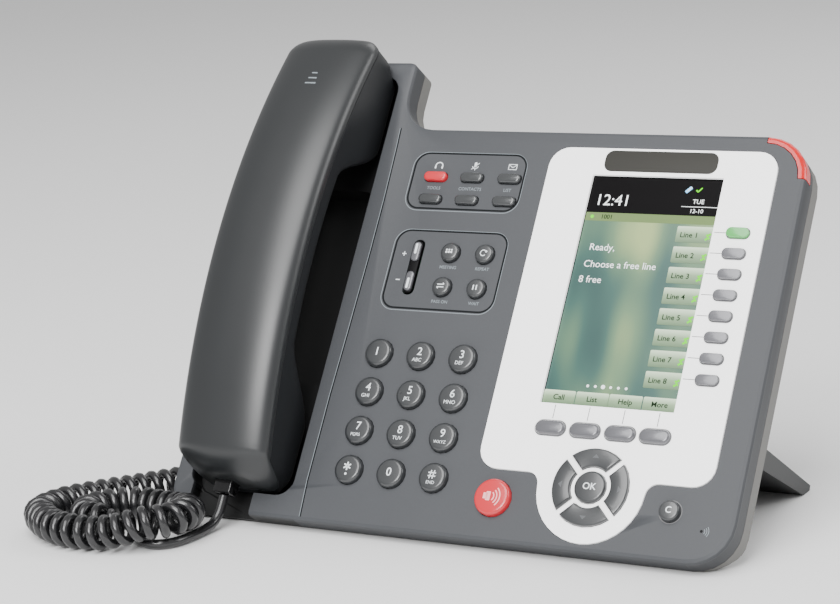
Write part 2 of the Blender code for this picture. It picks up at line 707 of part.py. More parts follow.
def underside_cutter(name, offset):
    """Everything below the sloping underside, raised by offset into the shell."""
    drop = HUMP_DEPTH + FRONT_EDGE_N
    slope = math.atan2(drop, UNDERSIDE_CORNER_V)
    cutter = box(name, (-BODY_WIDTH, -BODY_WIDTH / 2, -BODY_WIDTH), (BODY_WIDTH, BODY_WIDTH, 0.0))
    turn = Matrix.Translation((0.0, 0.0, FRONT_EDGE_N)) @ Matrix.Rotation(-slope, 4, "X")
    lift = Matrix.Translation((0.0, 0.0, offset))
    cutter.data.transform(turn @ lift)
    return cutter


def shell_solid(name, inset, grow_top):
    """The bottom shell's outside, or with an inset its inside."""
    block = plate(name, [outline(BODY_CORNERS, inset)], -SHELL_DEPTH + inset,
                  -COVER_DEPTH - SHELL_GAP + grow_top)
    hump = box(name + "_hump", (-HUMP_HALF_WIDTH + inset, HUMP_START_V + inset, -HUMP_DEPTH + inset),
               (HUMP_HALF_WIDTH - inset, HUMP_TOP_V - inset, -COVER_DEPTH - SHELL_GAP * 2 + grow_top))
    head = box(name + "_head", (-HUMP_HALF_WIDTH + HEAD_HUMP_SIDE + inset, HUMP_TOP_V / 2 + inset,
                                -HEAD_HUMP_DEPTH + inset),
               (HEAD_HUMP_HIGH_U - inset, HEAD_HUMP_TOP_V - inset, -COVER_DEPTH - SHELL_GAP * 3 + grow_top))
    return block, hump, head


def make_bottom_shell():
    material = make_material("shell_black", BLACK, 0.6)
    shell, hump, head = shell_solid("bottom_shell", 0.0, 0.0)
    finish_object(shell, PARTS, material)
    boolean(shell, "UNION", hump, head)
    boolean(shell, "DIFFERENCE", underside_cutter("underside_plane", 0.0))
    hollow, hollow_hump, hollow_head = shell_solid("shell_hollow", WALL, WALL)
    boolean(hollow, "UNION", hollow_hump, hollow_head)
    boolean(hollow, "DIFFERENCE", underside_cutter("inside_plane", WALL))
    boolean(shell, "DIFFERENCE", hollow)
    boss_top = BOARD_TOP_N - BOARD_THICKNESS - SHELL_GAP
    bosses = []
    for index, place in enumerate(BOSS_PLACES):
        floor = max(-HUMP_DEPTH, FRONT_EDGE_N - place[1] * (HUMP_DEPTH + FRONT_EDGE_N) / UNDERSIDE_CORNER_V)
        bosses.append(drum("boss_%d" % index, place, BOSS_RADIUS, floor + WALL / 2, boss_top, PIN_STEPS))
    boolean(shell, "UNION", *bosses)
    add_hinge_lugs(shell)
    size = [value / 2 + PLUG_CLEARANCE for value in PLUG_SIZE]
    jack = box("base_jack", (-HUMP_HALF_WIDTH - WALL, BASE_PLUG_V - size[0], BASE_PLUG_N - size[1]),
               (-HUMP_HALF_WIDTH + 2 * WALL, BASE_PLUG_V + size[0], BASE_PLUG_N + size[1]))
    boolean(shell, "DIFFERENCE", jack, desk_cutter("desk_under_shell"))
    return shell


def desk_cutter(name):
    """The desk itself, in the face frame: what stands on it is flattened against it."""
    cutter = box(name, (-BODY_WIDTH, -BODY_WIDTH, -BODY_WIDTH), (BODY_WIDTH, BODY_WIDTH, 0.0))
    cutter.data.transform(FACE.matrix_world.inverted())
    return cutter


def add_hinge_lugs(shell):
    """Two lugs at the hump's lower corner whose pins carry the stand."""
    for side, label in ((-1, "left"), (1, "right")):
        outer = side * (KNUCKLE_START - LUG_GAP)
        inner = outer - side * LUG_WIDTH
        lug = box("lug_" + label, (min(inner, outer), STAND_HINGE_V - LUG_HALF, STAND_HINGE_N),
                  (max(inner, outer), STAND_HINGE_V + LUG_HALF, STAND_HINGE_N + LUG_REACH))
        eye = rod("lug_eye_" + label, LUG_HALF, min(inner, outer), max(inner, outer),
                  (STAND_HINGE_V, STAND_HINGE_N))
        tip = outer + side * PIN_LENGTH
        pin = rod("hinge_pin_" + label, PIN_RADIUS, min(tip, inner), max(tip, inner),
                  (STAND_HINGE_V, STAND_HINGE_N), PIN_STEPS)
        boolean(shell, "UNION", lug, eye, pin)


def make_stand():
    """The folding leaf. Its own Y runs from the hinge to the foot and its Z away from the shell."""
    material = make_material("stand_grey", CHARCOAL, 0.5)
    half = STAND_WIDTH / 2
    leaf = box("stand", (-half, 0.0, STAND_INNER), (half, STAND_LENGTH, STAND_INNER + STAND_THICKNESS))
    finish_object(leaf, PARTS, material)
    leaf.location = (0.0, STAND_HINGE_V, STAND_HINGE_N)
    leaf.rotation_euler = (math.radians(STAND_OPEN), 0.0, 0.0)
    bpy.context.view_layer.update()
    relief_half = KNUCKLE_START - STAND_RELIEF_GAP
    tools = []
    for side, label in ((-1, "left"), (1, "right")):
        bounds = sorted((side * (half - STAND_CHEEK), side * half))
        cheek = box("stand_cheek_" + label, (bounds[0], KNUCKLE_RADIUS, STAND_INNER),
                    (bounds[1], STAND_LENGTH, STAND_CHEEK_ROOT))
        for vert in cheek.data.vertices:
            if vert.co.y > STAND_LENGTH / 2 and vert.co.z > 0:
                vert.co.z = STAND_CHEEK_TIP
        bounds = sorted((side * KNUCKLE_START, side * KNUCKLE_END))
        tools += [cheek, rod("knuckle_" + label, KNUCKLE_RADIUS, bounds[0], bounds[1])]
    boolean(leaf, "UNION", *tools, parent=leaf)
    relief = box("stand_relief", (-relief_half, -KNUCKLE_RADIUS * 2, -KNUCKLE_RADIUS * 2),
                 (relief_half, KNUCKLE_RADIUS + LUG_GAP, KNUCKLE_RADIUS * 2))
    boolean(leaf, "DIFFERENCE", relief, parent=leaf)
    for side, label in ((-1, "left"), (1, "right")):
        bounds = sorted((side * (KNUCKLE_START - WALL), side * (KNUCKLE_START + PIN_LENGTH)))
        hole = rod("pin_hole_" + label, PIN_HOLE_RADIUS, bounds[0], bounds[1], (0.0, 0.0), PIN_STEPS)
        boolean(leaf, "DIFFERENCE", hole, parent=leaf)
    boolean(leaf, "DIFFERENCE", desk_cutter("desk_under_stand"))
    return leaf


def make_loudspeaker():
    material = make_material("speaker_metal", METAL, 0.4, 1.0)
    frame_low = SPEAKER_TOP_N - SPEAKER_FRAME_THICKNESS
    speaker = drum("loudspeaker", SPEAKER_CENTRE, SPEAKER_RADIUS, frame_low, SPEAKER_TOP_N, FINE_STEPS)
    finish_object(speaker, PARTS, material)
    magnet = drum("speaker_magnet", SPEAKER_CENTRE, SPEAKER_MAGNET_RADIUS,
                  frame_low - SPEAKER_MAGNET_THICKNESS, frame_low + SPEAKER_FRAME_THICKNESS / 2, FINE_STEPS)
    return smooth_round(boolean(speaker, "UNION", magnet))


def make_hook_switch():
    material = make_material("hook_grey", CHARCOAL, 0.5)
    top = CUP_BOTTOM_N - SHELL_GAP
    shelf = -RECESS_DEPTH - RECESS_WALL - HOOK_TRAVEL - HOOK_CLEARANCE
    flange = plate("hook_switch", [hook_outline(HOOK_FLANGE)], shelf - HOOK_FLANGE, shelf)
    flange.data.transform(Matrix.Translation((-HOOK_CENTRE[0], -HOOK_CENTRE[1], 0.0)))
    plunger = plate("hook_plunger", [hook_outline(0.0)], shelf - HOOK_FLANGE / 2, top)
    plunger.data.transform(Matrix.Translation((-HOOK_CENTRE[0], -HOOK_CENTRE[1], 0.0)))
    finish_object(flange, PARTS, material)
    flange.location = (*HOOK_CENTRE, 0.0)
    return boolean(flange, "UNION", plunger, parent=flange)


# ---- handset ----

def smoothstep(start, end, value):
    t = max(0.0, min(1.0, (value - start) / (end - start)))
    return t * t * (3 - 2 * t)


def arch_height(v):
    return HANDSET_ARCH_N - HANDSET_ARCH_RATE * (v - HANDSET_ARCH_V) ** 2


def seam_height(v):
    return arch_height(v) - MOUTH_WRAP * (1.0 - smoothstep(HANDSET_LOW_V, MOUTH_WRAP_END, v))


def underside_height(v):
    grip = arch_height(v) - HANDSET_GRIP
    mouth = 1.0 - smoothstep(*MOUTH_CUP, v)
    ear = smoothstep(*EAR_CUP, v)
    cup = grip + (CUP_BOTTOM_N - grip) * max(mouth, ear)
    return cup + (OVERHANG_N - CUP_BOTTOM_N) * smoothstep(*EAR_CUP_END, v)


def end_rounding(v):
    """0 at the very ends of the handset, 1 once past its rounded corners."""
    distance = min(v - HANDSET_LOW_V, HANDSET_HIGH_V - v)
    t = min(1.0, max(0.0, distance / HANDSET_END_RADIUS))
    return math.sqrt(max(0.0, 1.0 - (1.0 - t) ** 2))


def handset_stations():
    low = [HANDSET_LOW_V + HANDSET_END_RADIUS * share for share in END_STEPS[:2]]
    high = [HANDSET_HIGH_V - HANDSET_END_RADIUS * share for share in END_STEPS if share < 1.0]
    return sorted(low + high + list(HANDSET_STATIONS + EAR_CUP_END))


def half_width(v):
    return HANDSET_WIDTH / 2 - HANDSET_END_RADIUS * (1.0 - end_rounding(v))


def loft(name, rings):
    """A closed skin over rings of equal length, capped at both ends."""
    bm = bmesh.new()
    loops = [[bm.verts.new(point) for point in ring] for ring in rings]
    for first, second in zip(loops, loops[1:]):
        for index in range(len(first)):
            following = (index + 1) % len(first)
            bm.faces.new((first[index], first[following], second[following], second[index]))
    bm.faces.new(loops[0])
    bm.faces.new(reversed(loops[-1]))
    return mesh_object(name, bm)


def crown_ring(v):
    half = half_width(v)
    seam = seam_height(v)
    crown = arch_height(v) - seam + HANDSET_CROWN * max(end_rounding(v), THINNEST_END)
    right = [(half * across, seam + crown * up) for across, up in CROWN_SECTION]
    left = [(-across, up) for across, up in reversed(right[:-1])]
    return [Vector((HANDSET_CENTRE_U + across, v, up)) for across, up in right + left]


def grip_ring(v):
    half = half_width(v) - SEAM_GAP
    seam = seam_height(v) - SEAM_GAP
    low = underside_height(v)
    middle = (seam + low) / 2
    corner = min(low + GRIP_CORNER, (middle + low) / 2)
    side = ((half, seam), (half - GRIP_DRAFT[0], middle), (half - GRIP_DRAFT[1], corner),
            (half - GRIP_DRAFT[2], low))
    left = [(-across, up) for across, up in reversed(side)]
    return [Vector((HANDSET_CENTRE_U + across, v, up)) for across, up in side + tuple(left)]


def make_handset():
    material = make_material("handset_charcoal", HANDSET_GREY, 0.4)
    stations = handset_stations()
    outer = loft("handset_outer_shell", [crown_ring(v) for v in stations])
    inner = loft("handset_inner_shell", [grip_ring(v) for v in stations])
    finish_object(outer, PARTS, material)
    finish_object(inner, PARTS, material)
    smooth_round(outer)
    smooth_round(inner)
    metal = make_material("capsule_metal", METAL, 0.4, 1.0)
    floor = CUP_BOTTOM_N + CAPSULE_FLOOR
    tools = []
    for name, place, radius in (("receiver_capsule", RECEIVER_V, RECEIVER_RADIUS),
                                ("transmitter_capsule", TRANSMITTER_V, TRANSMITTER_RADIUS)):
        centre = (HANDSET_CENTRE_U, place)
        tools.append(drum(name + "_pocket", centre, radius + CAPSULE_GAP, floor, HANDSET_ARCH_N, FINE_STEPS))
        capsule = drum(name, centre, radius, floor + CAPSULE_GAP,
                       floor + CAPSULE_GAP + CAPSULE_THICKNESS, FINE_STEPS)
        smooth_round(finish_object(capsule, PARTS, metal))
    half = PLUG_SIZE[0] / 2 + PLUG_CLEARANCE
    thick = PLUG_SIZE[1] / 2 + PLUG_CLEARANCE
    plug_end = HANDSET_PLUG_LOW_V + HANDSET_PLUG_LENGTH
    for shell, label in ((outer, "outer"), (inner, "inner")):
        jack = box("handset_jack_" + label,
                   (HANDSET_PLUG_U - half, HANDSET_LOW_V - WALL, HANDSET_PLUG_N - thick),
                   (HANDSET_PLUG_U + half, plug_end + PLUG_CLEARANCE, HANDSET_PLUG_N + thick))
        boolean(shell, "DIFFERENCE", jack)
    boolean(inner, "DIFFERENCE", *tools)


# ---- cord ----

def face_to_world(u, v, n):
    return FACE.matrix_world @ Vector((u, v, n))


def smooth_path(points, spacing):
    """Even points along a smooth curve through the route's own points."""
    route = [2 * points[0] - points[1]] + points + [2 * points[-1] - points[-2]]
    dense = []
    for index in range(1, len(route) - 2):
        a, b, c, d = route[index - 1:index + 3]
        for step in range(12):
            t = step / 12
            dense.append(0.5 * (2 * b + (c - a) * t + (2 * a - 5 * b + 4 * c - d) * t * t
                                + (3 * b - a - 3 * c + d) * t ** 3))
    dense.append(points[-1])
    total = sum((q - p).length for p, q in zip(dense, dense[1:]))
    count = max(2, round(total / spacing))
    even = [dense[0]]
    walked = 0.0
    for p, q in zip(dense, dense[1:]):
        length = (q - p).length
        while len(even) < count and walked + length >= total * len(even) / count:
            even.append(p.lerp(q, (total * len(even) / count - walked) / length))
        walked += length
    return even + [dense[-1]]


def tube(name, points, diameter, material, resolution):
    curve = bpy.data.curves.new(name, "CURVE")
    curve.dimensions = "3D"
    curve.bevel_depth = diameter / 2
    curve.bevel_resolution = resolution
    curve.render_resolution_u = 0
    curve.use_fill_caps = True
    spline = curve.splines.new("POLY")
    spline.points.add(len(points) - 1)
    for target, point in zip(spline.points, points):
        target.co = (*point, 1.0)
    curve.materials.append(material)
    obj = bpy.data.objects.new(name, curve)
    PARTS.objects.link(obj)
    return obj


# Routes over the desk in millimetres, right, back and up, as the cord lies.
BASE_LEAD_ROUTE = ((-117.6, -2.7, 27.2), (-121.4, -2.5, 25.6), (-123.4, -2.1, 21.2), (-122.6, -1.7, 16.2),
                   (-119.6, -2.4, 11.6), (-116.6, -5.4, 8.4), (-115.5, -9.8, 7.2), (-116.9, -14.2, 7.0))
CURL_ROUTE = ((-119.0, -18.4, 7.0), (-127.2, -33.2, 7.0), (-138.6, -48.7, 7.0), (-149.6, -63.0, 7.0),
              (-156.0, -75.3, 7.0), (-156.6, -87.7, 7.0), (-149.8, -95.7, 7.0), (-139.5, -102.0, 7.0),
              (-128.3, -104.4, 7.0), (-117.8, -103.7, 7.2), (-108.3, -101.6, 9.0), (-100.2, -98.2, 11.2),
              (-93.4, -92.8, 11.4), (-92.2, -83.6, 11.3), (-96.6, -74.2, 9.6), (-104.6, -68.2, 7.7),
              (-114.5, -65.8, 7.0), (-125.5, -64.6, 7.0), (-135.0, -69.3, 7.0), (-139.5, -78.5, 7.0),
              (-136.0, -86.7, 7.0), (-128.5, -89.0, 7.0), (-121.0, -88.0, 7.0))
HANDSET_LEAD_ROUTE = ((-117.4, -87.6, 6.7), (-113.8, -88.4, 4.6), (-110.2, -90.4, 2.5), (-106.0, -93.0, 2.1),
                      (-101.0, -95.0, 2.1), (-96.4, -94.0, 2.1), (-92.6, -89.4, 2.1), (-91.0, -82.4, 2.1),
                      (-90.6, -75.0, 2.1), (-90.0, -68.1, 3.2), (-89.6, -64.3, 5.8), (-89.5, -61.9, 8.9))


def make_cord():
    material = make_material("cord_black", BLACK, 0.35)
    plug_material = make_material("plug_clear", METAL, 0.2)
    half = PLUG_SIZE[0] / 2
    thick = PLUG_SIZE[1] / 2
    plug = box("handset_plug", (HANDSET_PLUG_U - half, HANDSET_PLUG_LOW_V, HANDSET_PLUG_N - thick),
               (HANDSET_PLUG_U + half, HANDSET_PLUG_LOW_V + HANDSET_PLUG_LENGTH, HANDSET_PLUG_N + thick))
    finish_object(plug, PARTS, plug_material)
    inside = -HUMP_HALF_WIDTH + BASE_PLUG_INSERT
    base = box("base_plug", (inside - BASE_PLUG_LENGTH, BASE_PLUG_V - half, BASE_PLUG_N - thick),
               (inside, BASE_PLUG_V + half, BASE_PLUG_N + thick))
    finish_object(base, PARTS, plug_material)
    millimetre = 0.001
    outward = Vector((CORD_ROUTE_HALF_WIDTH - BODY_WIDTH / 2, 0.0, 0.0))
    curl = smooth_path([Vector(point) * millimetre + outward for point in CURL_ROUTE], CURL_DIAMETER / 2)
    tube("cord_curl", curl, CURL_DIAMETER, material, 3)
    base_exit = face_to_world(inside - BASE_PLUG_LENGTH - CORD_GAP, BASE_PLUG_V, BASE_PLUG_N)
    handset_exit = face_to_world(HANDSET_PLUG_U, HANDSET_PLUG_LOW_V - CORD_GAP, HANDSET_PLUG_N)
    start = curl[0] + (curl[0] - curl[1]).normalized() * CORD_GAP
    end = curl[-1] + (curl[-1] - curl[-2]).normalized() * CORD_GAP
    lead = [base_exit] + [Vector(point) * millimetre + outward for point in BASE_LEAD_ROUTE] + [start]
    tube("cord_lead_base", smooth_path(lead, CORD_DIAMETER), CORD_DIAMETER, material, 2)
    lead = [end] + [Vector(point) * millimetre + outward * max(0.0, 1.0 - index / LEAD_FOLLOWS)
                    for index, point in enumerate(HANDSET_LEAD_ROUTE)] + [handset_exit]
    tube("cord_lead_handset", smooth_path(lead, CORD_DIAMETER), CORD_DIAMETER, material, 2)


make_keys()
make_rocker()
make_top_cover()
make_bezel_plate()
make_display()
make_main_board()
make_lamp()
make_bottom_shell()
make_stand()
make_loudspeaker()
make_hook_switch()
make_handset()
make_cord()
bpy.context.view_layer.update()
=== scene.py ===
import math

import bmesh
import bpy
from mathutils import Matrix, Vector


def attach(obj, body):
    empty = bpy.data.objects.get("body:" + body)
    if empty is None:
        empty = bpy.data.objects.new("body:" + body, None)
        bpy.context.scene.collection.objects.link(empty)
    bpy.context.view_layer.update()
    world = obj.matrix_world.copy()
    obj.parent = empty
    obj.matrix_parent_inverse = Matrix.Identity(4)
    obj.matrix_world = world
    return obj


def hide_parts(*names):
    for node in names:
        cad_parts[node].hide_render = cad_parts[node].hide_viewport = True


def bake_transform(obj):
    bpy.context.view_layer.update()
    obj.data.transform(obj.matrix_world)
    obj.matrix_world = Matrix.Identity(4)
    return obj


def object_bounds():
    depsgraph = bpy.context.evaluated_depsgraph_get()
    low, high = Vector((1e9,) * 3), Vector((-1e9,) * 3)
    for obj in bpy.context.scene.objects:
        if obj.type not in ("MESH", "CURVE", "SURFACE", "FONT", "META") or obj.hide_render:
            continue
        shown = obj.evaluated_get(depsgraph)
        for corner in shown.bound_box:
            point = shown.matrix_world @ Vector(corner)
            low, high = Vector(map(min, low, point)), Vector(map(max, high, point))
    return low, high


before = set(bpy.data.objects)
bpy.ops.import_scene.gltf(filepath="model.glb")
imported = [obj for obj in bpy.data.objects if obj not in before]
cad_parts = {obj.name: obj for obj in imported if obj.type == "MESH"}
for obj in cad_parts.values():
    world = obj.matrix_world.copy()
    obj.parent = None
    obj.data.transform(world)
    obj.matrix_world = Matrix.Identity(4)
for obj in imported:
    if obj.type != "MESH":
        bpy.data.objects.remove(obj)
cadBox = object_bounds()
print("frame loaded with", len(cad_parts), "nodes")

mm = 0.001
tiny = 1e-6

# the face frame, in millimetres: x to the right, y up the sloping face from its bottom edge, z out of it
face = {"slope": 55.0, "back": -50.2, "sink": -0.6, "edge": 10.0}
faceMatrix = (Matrix.Translation((0, face["back"] * mm, face["sink"] * mm))
              @ Matrix.Rotation(math.radians(face["slope"]), 4, "X")
              @ Matrix.Translation((0, 0, face["edge"] * mm)) @ Matrix.Scale(mm, 4))


def facePoint(u, v, n):
    return faceMatrix @ Vector((u, v, n))


def faceBox(node):
    # a CAD node's lowest and highest corner in the face frame
    back = faceMatrix.inverted()
    points = [back @ vert.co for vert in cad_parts[node].data.vertices]
    low = Vector([min(point[axis] for point in points) for axis in range(3)])
    high = Vector([max(point[axis] for point in points) for axis in range(3)])
    return low, high


# camera and lights

view = {"place": (0.4246, -0.8138, 0.2711), "right": (0.876, 0.479, -0.0505), "up": (-0.053, 0.200, 0.978),
        "lens": 104.1, "sensor": 36.0}


def addCamera():
    forward = Vector(view["up"]).cross(Vector(view["right"])).normalized()
    right = forward.cross(Vector(view["up"])).normalized()
    up = right.cross(forward)
    turn = Matrix((right, up, -forward)).transposed().to_4x4()
    data = bpy.data.cameras.new("camera")
    data.lens = view["lens"]
    data.sensor_width = view["sensor"]
    camera = bpy.data.objects.new("camera", data)
    camera.matrix_world = Matrix.Translation(view["place"]) @ turn
    bpy.context.scene.collection.objects.link(camera)
    bpy.context.scene.camera = camera


def addSoftbox(name, place, size, power, colour=(1, 1, 1)):
    data = bpy.data.lights.new(name, "AREA")
    data.shape = "RECTANGLE"
    data.size, data.size_y = size
    data.energy = power
    data.color = colour
    lamp = bpy.data.objects.new(name, data)
    aim = Vector(place) - Vector((-0.01, 0.0, 0.07))
    lamp.location = place
    lamp.rotation_euler = aim.to_track_quat("Z", "Y").to_euler()
    bpy.context.scene.collection.objects.link(lamp)


studio = {
    "boxes": (("topBox", (0.08, -0.72, 1.35), (1.20, 0.85), 21.0),
              ("frontBox", (0.15, -1.60, 1.05), (0.9, 0.7), 30.0),
              ("rightBox", (1.30, 0.55, 0.85), (0.7, 0.7), 8.0),
              ("backBox", (0.2, 1.5, 1.5), (1.4, 0.8), 9.0)),
    "ambient": 0.66, "floorSize": 8.0, "floorColour": (0.86, 0.86, 0.86)}

addCamera()
for box in studio["boxes"]:
    addSoftbox(*box)
world = bpy.data.worlds.new("studio")
world.use_nodes = True
world.node_tree.nodes["Background"].inputs["Color"].default_value = (1, 1, 1, 1)
world.node_tree.nodes["Background"].inputs["Strength"].default_value = studio["ambient"]
bpy.context.scene.world = world
print("camera and lights placed")


# shader groups and materials

def setSockets(tree, node, sockets):
    # each socket takes a plain value, or the output that feeds it
    for key, value in sockets.items():
        if isinstance(value, bpy.types.NodeSocket):
            tree.links.new(value, node.inputs[key])
        else:
            node.inputs[key].default_value = value


def addNode(tree, kind, sockets=None, **values):
    node = tree.nodes.new(kind)
    for key, value in values.items():
        setattr(node, key, value)
    setSockets(tree, node, sockets or {})
    return node


def mathNode(tree, operation, *terms):
    return addNode(tree, "ShaderNodeMath", dict(enumerate(terms)), operation=operation).outputs[0]


def mixColours(tree, share, first, second):
    # first where the share is 0, second where it is 1
    sockets = {"Factor": share, "A": first, "B": second}
    return addNode(tree, "ShaderNodeMix", sockets, data_type="RGBA").outputs["Result"]


def easeNode(tree, value, zeroAt, oneAt):
    sockets = {"Value": value, "From Min": zeroAt, "From Max": oneAt}
    return addNode(tree, "ShaderNodeMapRange", sockets, interpolation_type="SMOOTHERSTEP").outputs["Result"]


def colourRamp(tree, share, stops):
    node = addNode(tree, "ShaderNodeValToRGB", {"Fac": share})
    for place in stops[1:-1]:
        node.color_ramp.elements.new(place[0])
    for element, (place, colour) in zip(node.color_ramp.elements, stops):
        element.position = place
        element.color = (*colour, 1)
    return node.outputs["Color"]


def objectPlace(tree, output="Object"):
    # a point's place, and its x, y and z apart
    place = addNode(tree, "ShaderNodeTexCoord").outputs[output]
    return place, addNode(tree, "ShaderNodeSeparateXYZ", {0: place}).outputs


def startGroup(name, inputs, outputs):
    # an empty group with its named sockets, and what comes in through them
    kinds = {"number": "NodeSocketFloat", "colour": "NodeSocketColor", "normal": "NodeSocketVector"}
    group = bpy.data.node_groups.new(name, "ShaderNodeTree")
    for label, kind, value in inputs:
        socket = group.interface.new_socket(label, in_out="INPUT", socket_type=kinds[kind])
        socket.default_value = value
    for label, kind in outputs:
        group.interface.new_socket(label, in_out="OUTPUT", socket_type=kinds[kind])
    return group, addNode(group, "NodeGroupInput").outputs


grain = {"tone": (0.1, 0.1, 0.1, 1), "spread": 0.06, "roughness": 0.5, "scale": 1400.0, "depth": 0.2,
         "fineDetail": 2.0, "broadScale": 45.0, "broadDetail": 3.0, "bumpHeight": 0.00006}


def buildFineGrain():
    # moulded plastic: a fine bump, a slow drift of tone and a matching drift of gloss
    group, given = startGroup(
        "fineGrain",
        (("Colour", "colour", grain["tone"]), ("Spread", "number", grain["spread"]),
         ("Roughness", "number", grain["roughness"]), ("Scale", "number", grain["scale"]),
         ("Depth", "number", grain["depth"])),
        (("Colour", "colour"), ("Roughness", "number"), ("Normal", "normal")))
    place = addNode(group, "ShaderNodeTexCoord").outputs["Object"]
    fine = addNode(group, "ShaderNodeTexNoise", {
        "Vector": place, "Scale": given["Scale"], "Detail": grain["fineDetail"]}).outputs["Fac"]
    broad = addNode(group, "ShaderNodeTexNoise", {
        "Vector": place, "Scale": grain["broadScale"], "Detail": grain["broadDetail"]}).outputs["Fac"]
    centred = mathNode(group, "SUBTRACT", mathNode(group, "ADD", fine, broad), 1.0)
    drift = mathNode(group, "MULTIPLY_ADD", centred, given["Spread"], 1.0)
    tone = addNode(group, "ShaderNodeVectorMath", {"Vector": given["Colour"], "Scale": drift},
                   operation="SCALE")
    bump = addNode(group, "ShaderNodeBump", {
        "Height": fine, "Strength": given["Depth"], "Distance": grain["bumpHeight"]})
    gloss = mathNode(group, "MULTIPLY", given["Roughness"], drift)
    addNode(group, "NodeGroupOutput", {
        "Colour": tone.outputs["Vector"], "Roughness": gloss, "Normal": bump.outputs["Normal"]})
    return group


fineGrain = buildFineGrain()


def startMaterial(name):
    material = bpy.data.materials.new(name)
    material.use_nodes = True
    return material, material.node_tree, material.node_tree.nodes["Principled BSDF"]


def grainMaterial(name, colour, roughness, spread=0.06, scale=1400.0, depth=0.2, **shaderValues):
    # a moulded finish; shaderValues are plain values on the shader's own sockets
    material, tree, shader = startMaterial(name)
    surface = addNode(tree, "ShaderNodeGroup", node_tree=fineGrain)
    setSockets(tree, surface, {"Colour": (*colour, 1), "Spread": spread, "Roughness": roughness,
                               "Scale": scale, "Depth": depth})
    varied = surface.outputs
    setSockets(tree, shader, {"Base Color": varied["Colour"], "Roughness": varied["Roughness"],
                              "Normal": varied["Normal"]})
    setSockets(tree, shader, {socket.replace("_", " "): value for socket, value in shaderValues.items()})
    return material


def grainParts(material):
    # a moulded finish's tree, shader and varying colour
    tree = material.node_tree
    surface = next(node for node in tree.nodes if node.type == "GROUP")
    return tree, tree.nodes["Principled BSDF"], surface.outputs["Colour"]


def litMaterial(name, colour, glow, roughness=0.35):
    # printed or lit artwork on the display: it glows a little in its own colour
    material = grainMaterial(name, colour, roughness, spread=0.04, scale=900.0, depth=0.02,
                             Specular_IOR_Level=0.05)
    tree, shader, varied = grainParts(material)
    setSockets(tree, shader, {"Emission Color": varied, "Emission Strength": glow})
    return material


# the colours for the side walls and the cradle are painted shade, laid on by depth below the face
coverLook = {"face": (0.055, 0.058, 0.0635), "walls": (0.030, 0.032, 0.036, 1),
             "cradle": (0.003, 0.0032, 0.0034, 1), "startDepth": 0.4, "endDepth": 2.6, "cradleEdge": -59.5}


def coverMaterial():
    # charcoal face; the darker side walls and nearly black cradle are painted shade, by depth below the face
    # in millimetres
    material = grainMaterial("coverCharcoal", coverLook["face"], 0.46, spread=0.10, scale=1100.0, depth=0.35,
                             Specular_IOR_Level=0.36)
    tree, shader, varied = grainParts(material)
    place, along = objectPlace(tree)
    normal = (faceMatrix.to_3x3() @ Vector((0, 0, 1))).normalized() / mm
    height = addNode(tree, "ShaderNodeVectorMath", {0: place, 1: normal}, operation="DOT_PRODUCT")
    below = mathNode(tree, "SUBTRACT", facePoint(0, 0, 0).dot(normal), height.outputs["Value"])
    reach = {"Value": below, "From Min": coverLook["startDepth"], "From Max": coverLook["endDepth"]}
    depth = addNode(tree, "ShaderNodeMapRange", reach).outputs["Result"]
    across = mathNode(tree, "MULTIPLY", along["X"], 1 / mm)
    inCradle = mathNode(tree, "LESS_THAN", across, coverLook["cradleEdge"])
    shadedSides = mixColours(tree, depth, varied, coverLook["walls"])
    deepShade = mathNode(tree, "MULTIPLY", depth, inCradle)
    setSockets(tree, shader, {"Base Color": mixColours(tree, deepShade, shadedSides, coverLook["cradle"])})
    return material


picture = {"shift": (0.42, 0.15, 0), "stretch": (1.5, 0.75, 1), "cloudScale": 1.9, "cloudDetail": 1.0,
           "cloudRoughness": 0.3, "streakAt": 0.50, "streakReach": 0.22, "streakFade": (0.75, 0.25),
           "streakShare": 0.34, "topFade": (0.55, 0.95), "topShare": 0.25, "glow": 0.55, "roughness": 0.25,
           "stops": ((0.30, (0.008, 0.034, 0.034)), (0.48, (0.024, 0.075, 0.060)),
                     (0.70, (0.085, 0.16, 0.085)), (0.95, (0.24, 0.31, 0.12)))}


def wallpaperMaterial():
    # the display's blurred green and teal picture, on the piece's own UV map
    material, tree, shader = startMaterial("wallpaper")
    place, along = objectPlace(tree, "UV")
    moved = addNode(tree, "ShaderNodeMapping", {
        "Vector": place, "Location": picture["shift"], "Scale": picture["stretch"]}).outputs["Vector"]
    clouds = addNode(tree, "ShaderNodeTexNoise", {
        "Vector": moved, "Scale": picture["cloudScale"], "Detail": picture["cloudDetail"],
        "Roughness": picture["cloudRoughness"]}).outputs["Fac"]
    distance = mathNode(tree, "ABSOLUTE", mathNode(tree, "SUBTRACT", along["X"], picture["streakAt"]))
    streak = easeNode(tree, distance, picture["streakReach"], 0.0)
    lane = mathNode(tree, "MULTIPLY", streak, easeNode(tree, along["Y"], *picture["streakFade"]))
    light = mathNode(tree, "MULTIPLY_ADD", lane, picture["streakShare"], clouds)
    top = easeNode(tree, along["Y"], *picture["topFade"])
    share = mathNode(tree, "MULTIPLY_ADD", top, picture["topShare"], light)
    colour = colourRamp(tree, share, picture["stops"])
    setSockets(tree, shader, {"Base Color": colour, "Emission Color": colour,
                              "Emission Strength": picture["glow"], "Roughness": picture["roughness"]})
    return material


paleLabel = {"stops": ((0.0, (0.085, 0.15, 0.075)), (0.55, (0.20, 0.30, 0.17)), (1.0, (0.52, 0.64, 0.46))),
             "glow": 0.35, "roughness": 0.3}


def labelMaterial():
    # pale green keys on the display, lighter at their tops, on the piece's own UV map
    material, tree, shader = startMaterial("paleLabel")
    along = objectPlace(tree, "UV")[1]
    colour = colourRamp(tree, along["Y"], paleLabel["stops"])
    setSockets(tree, shader, {"Base Color": colour, "Emission Color": colour,
                              "Emission Strength": paleLabel["glow"], "Roughness": paleLabel["roughness"]})
    return material
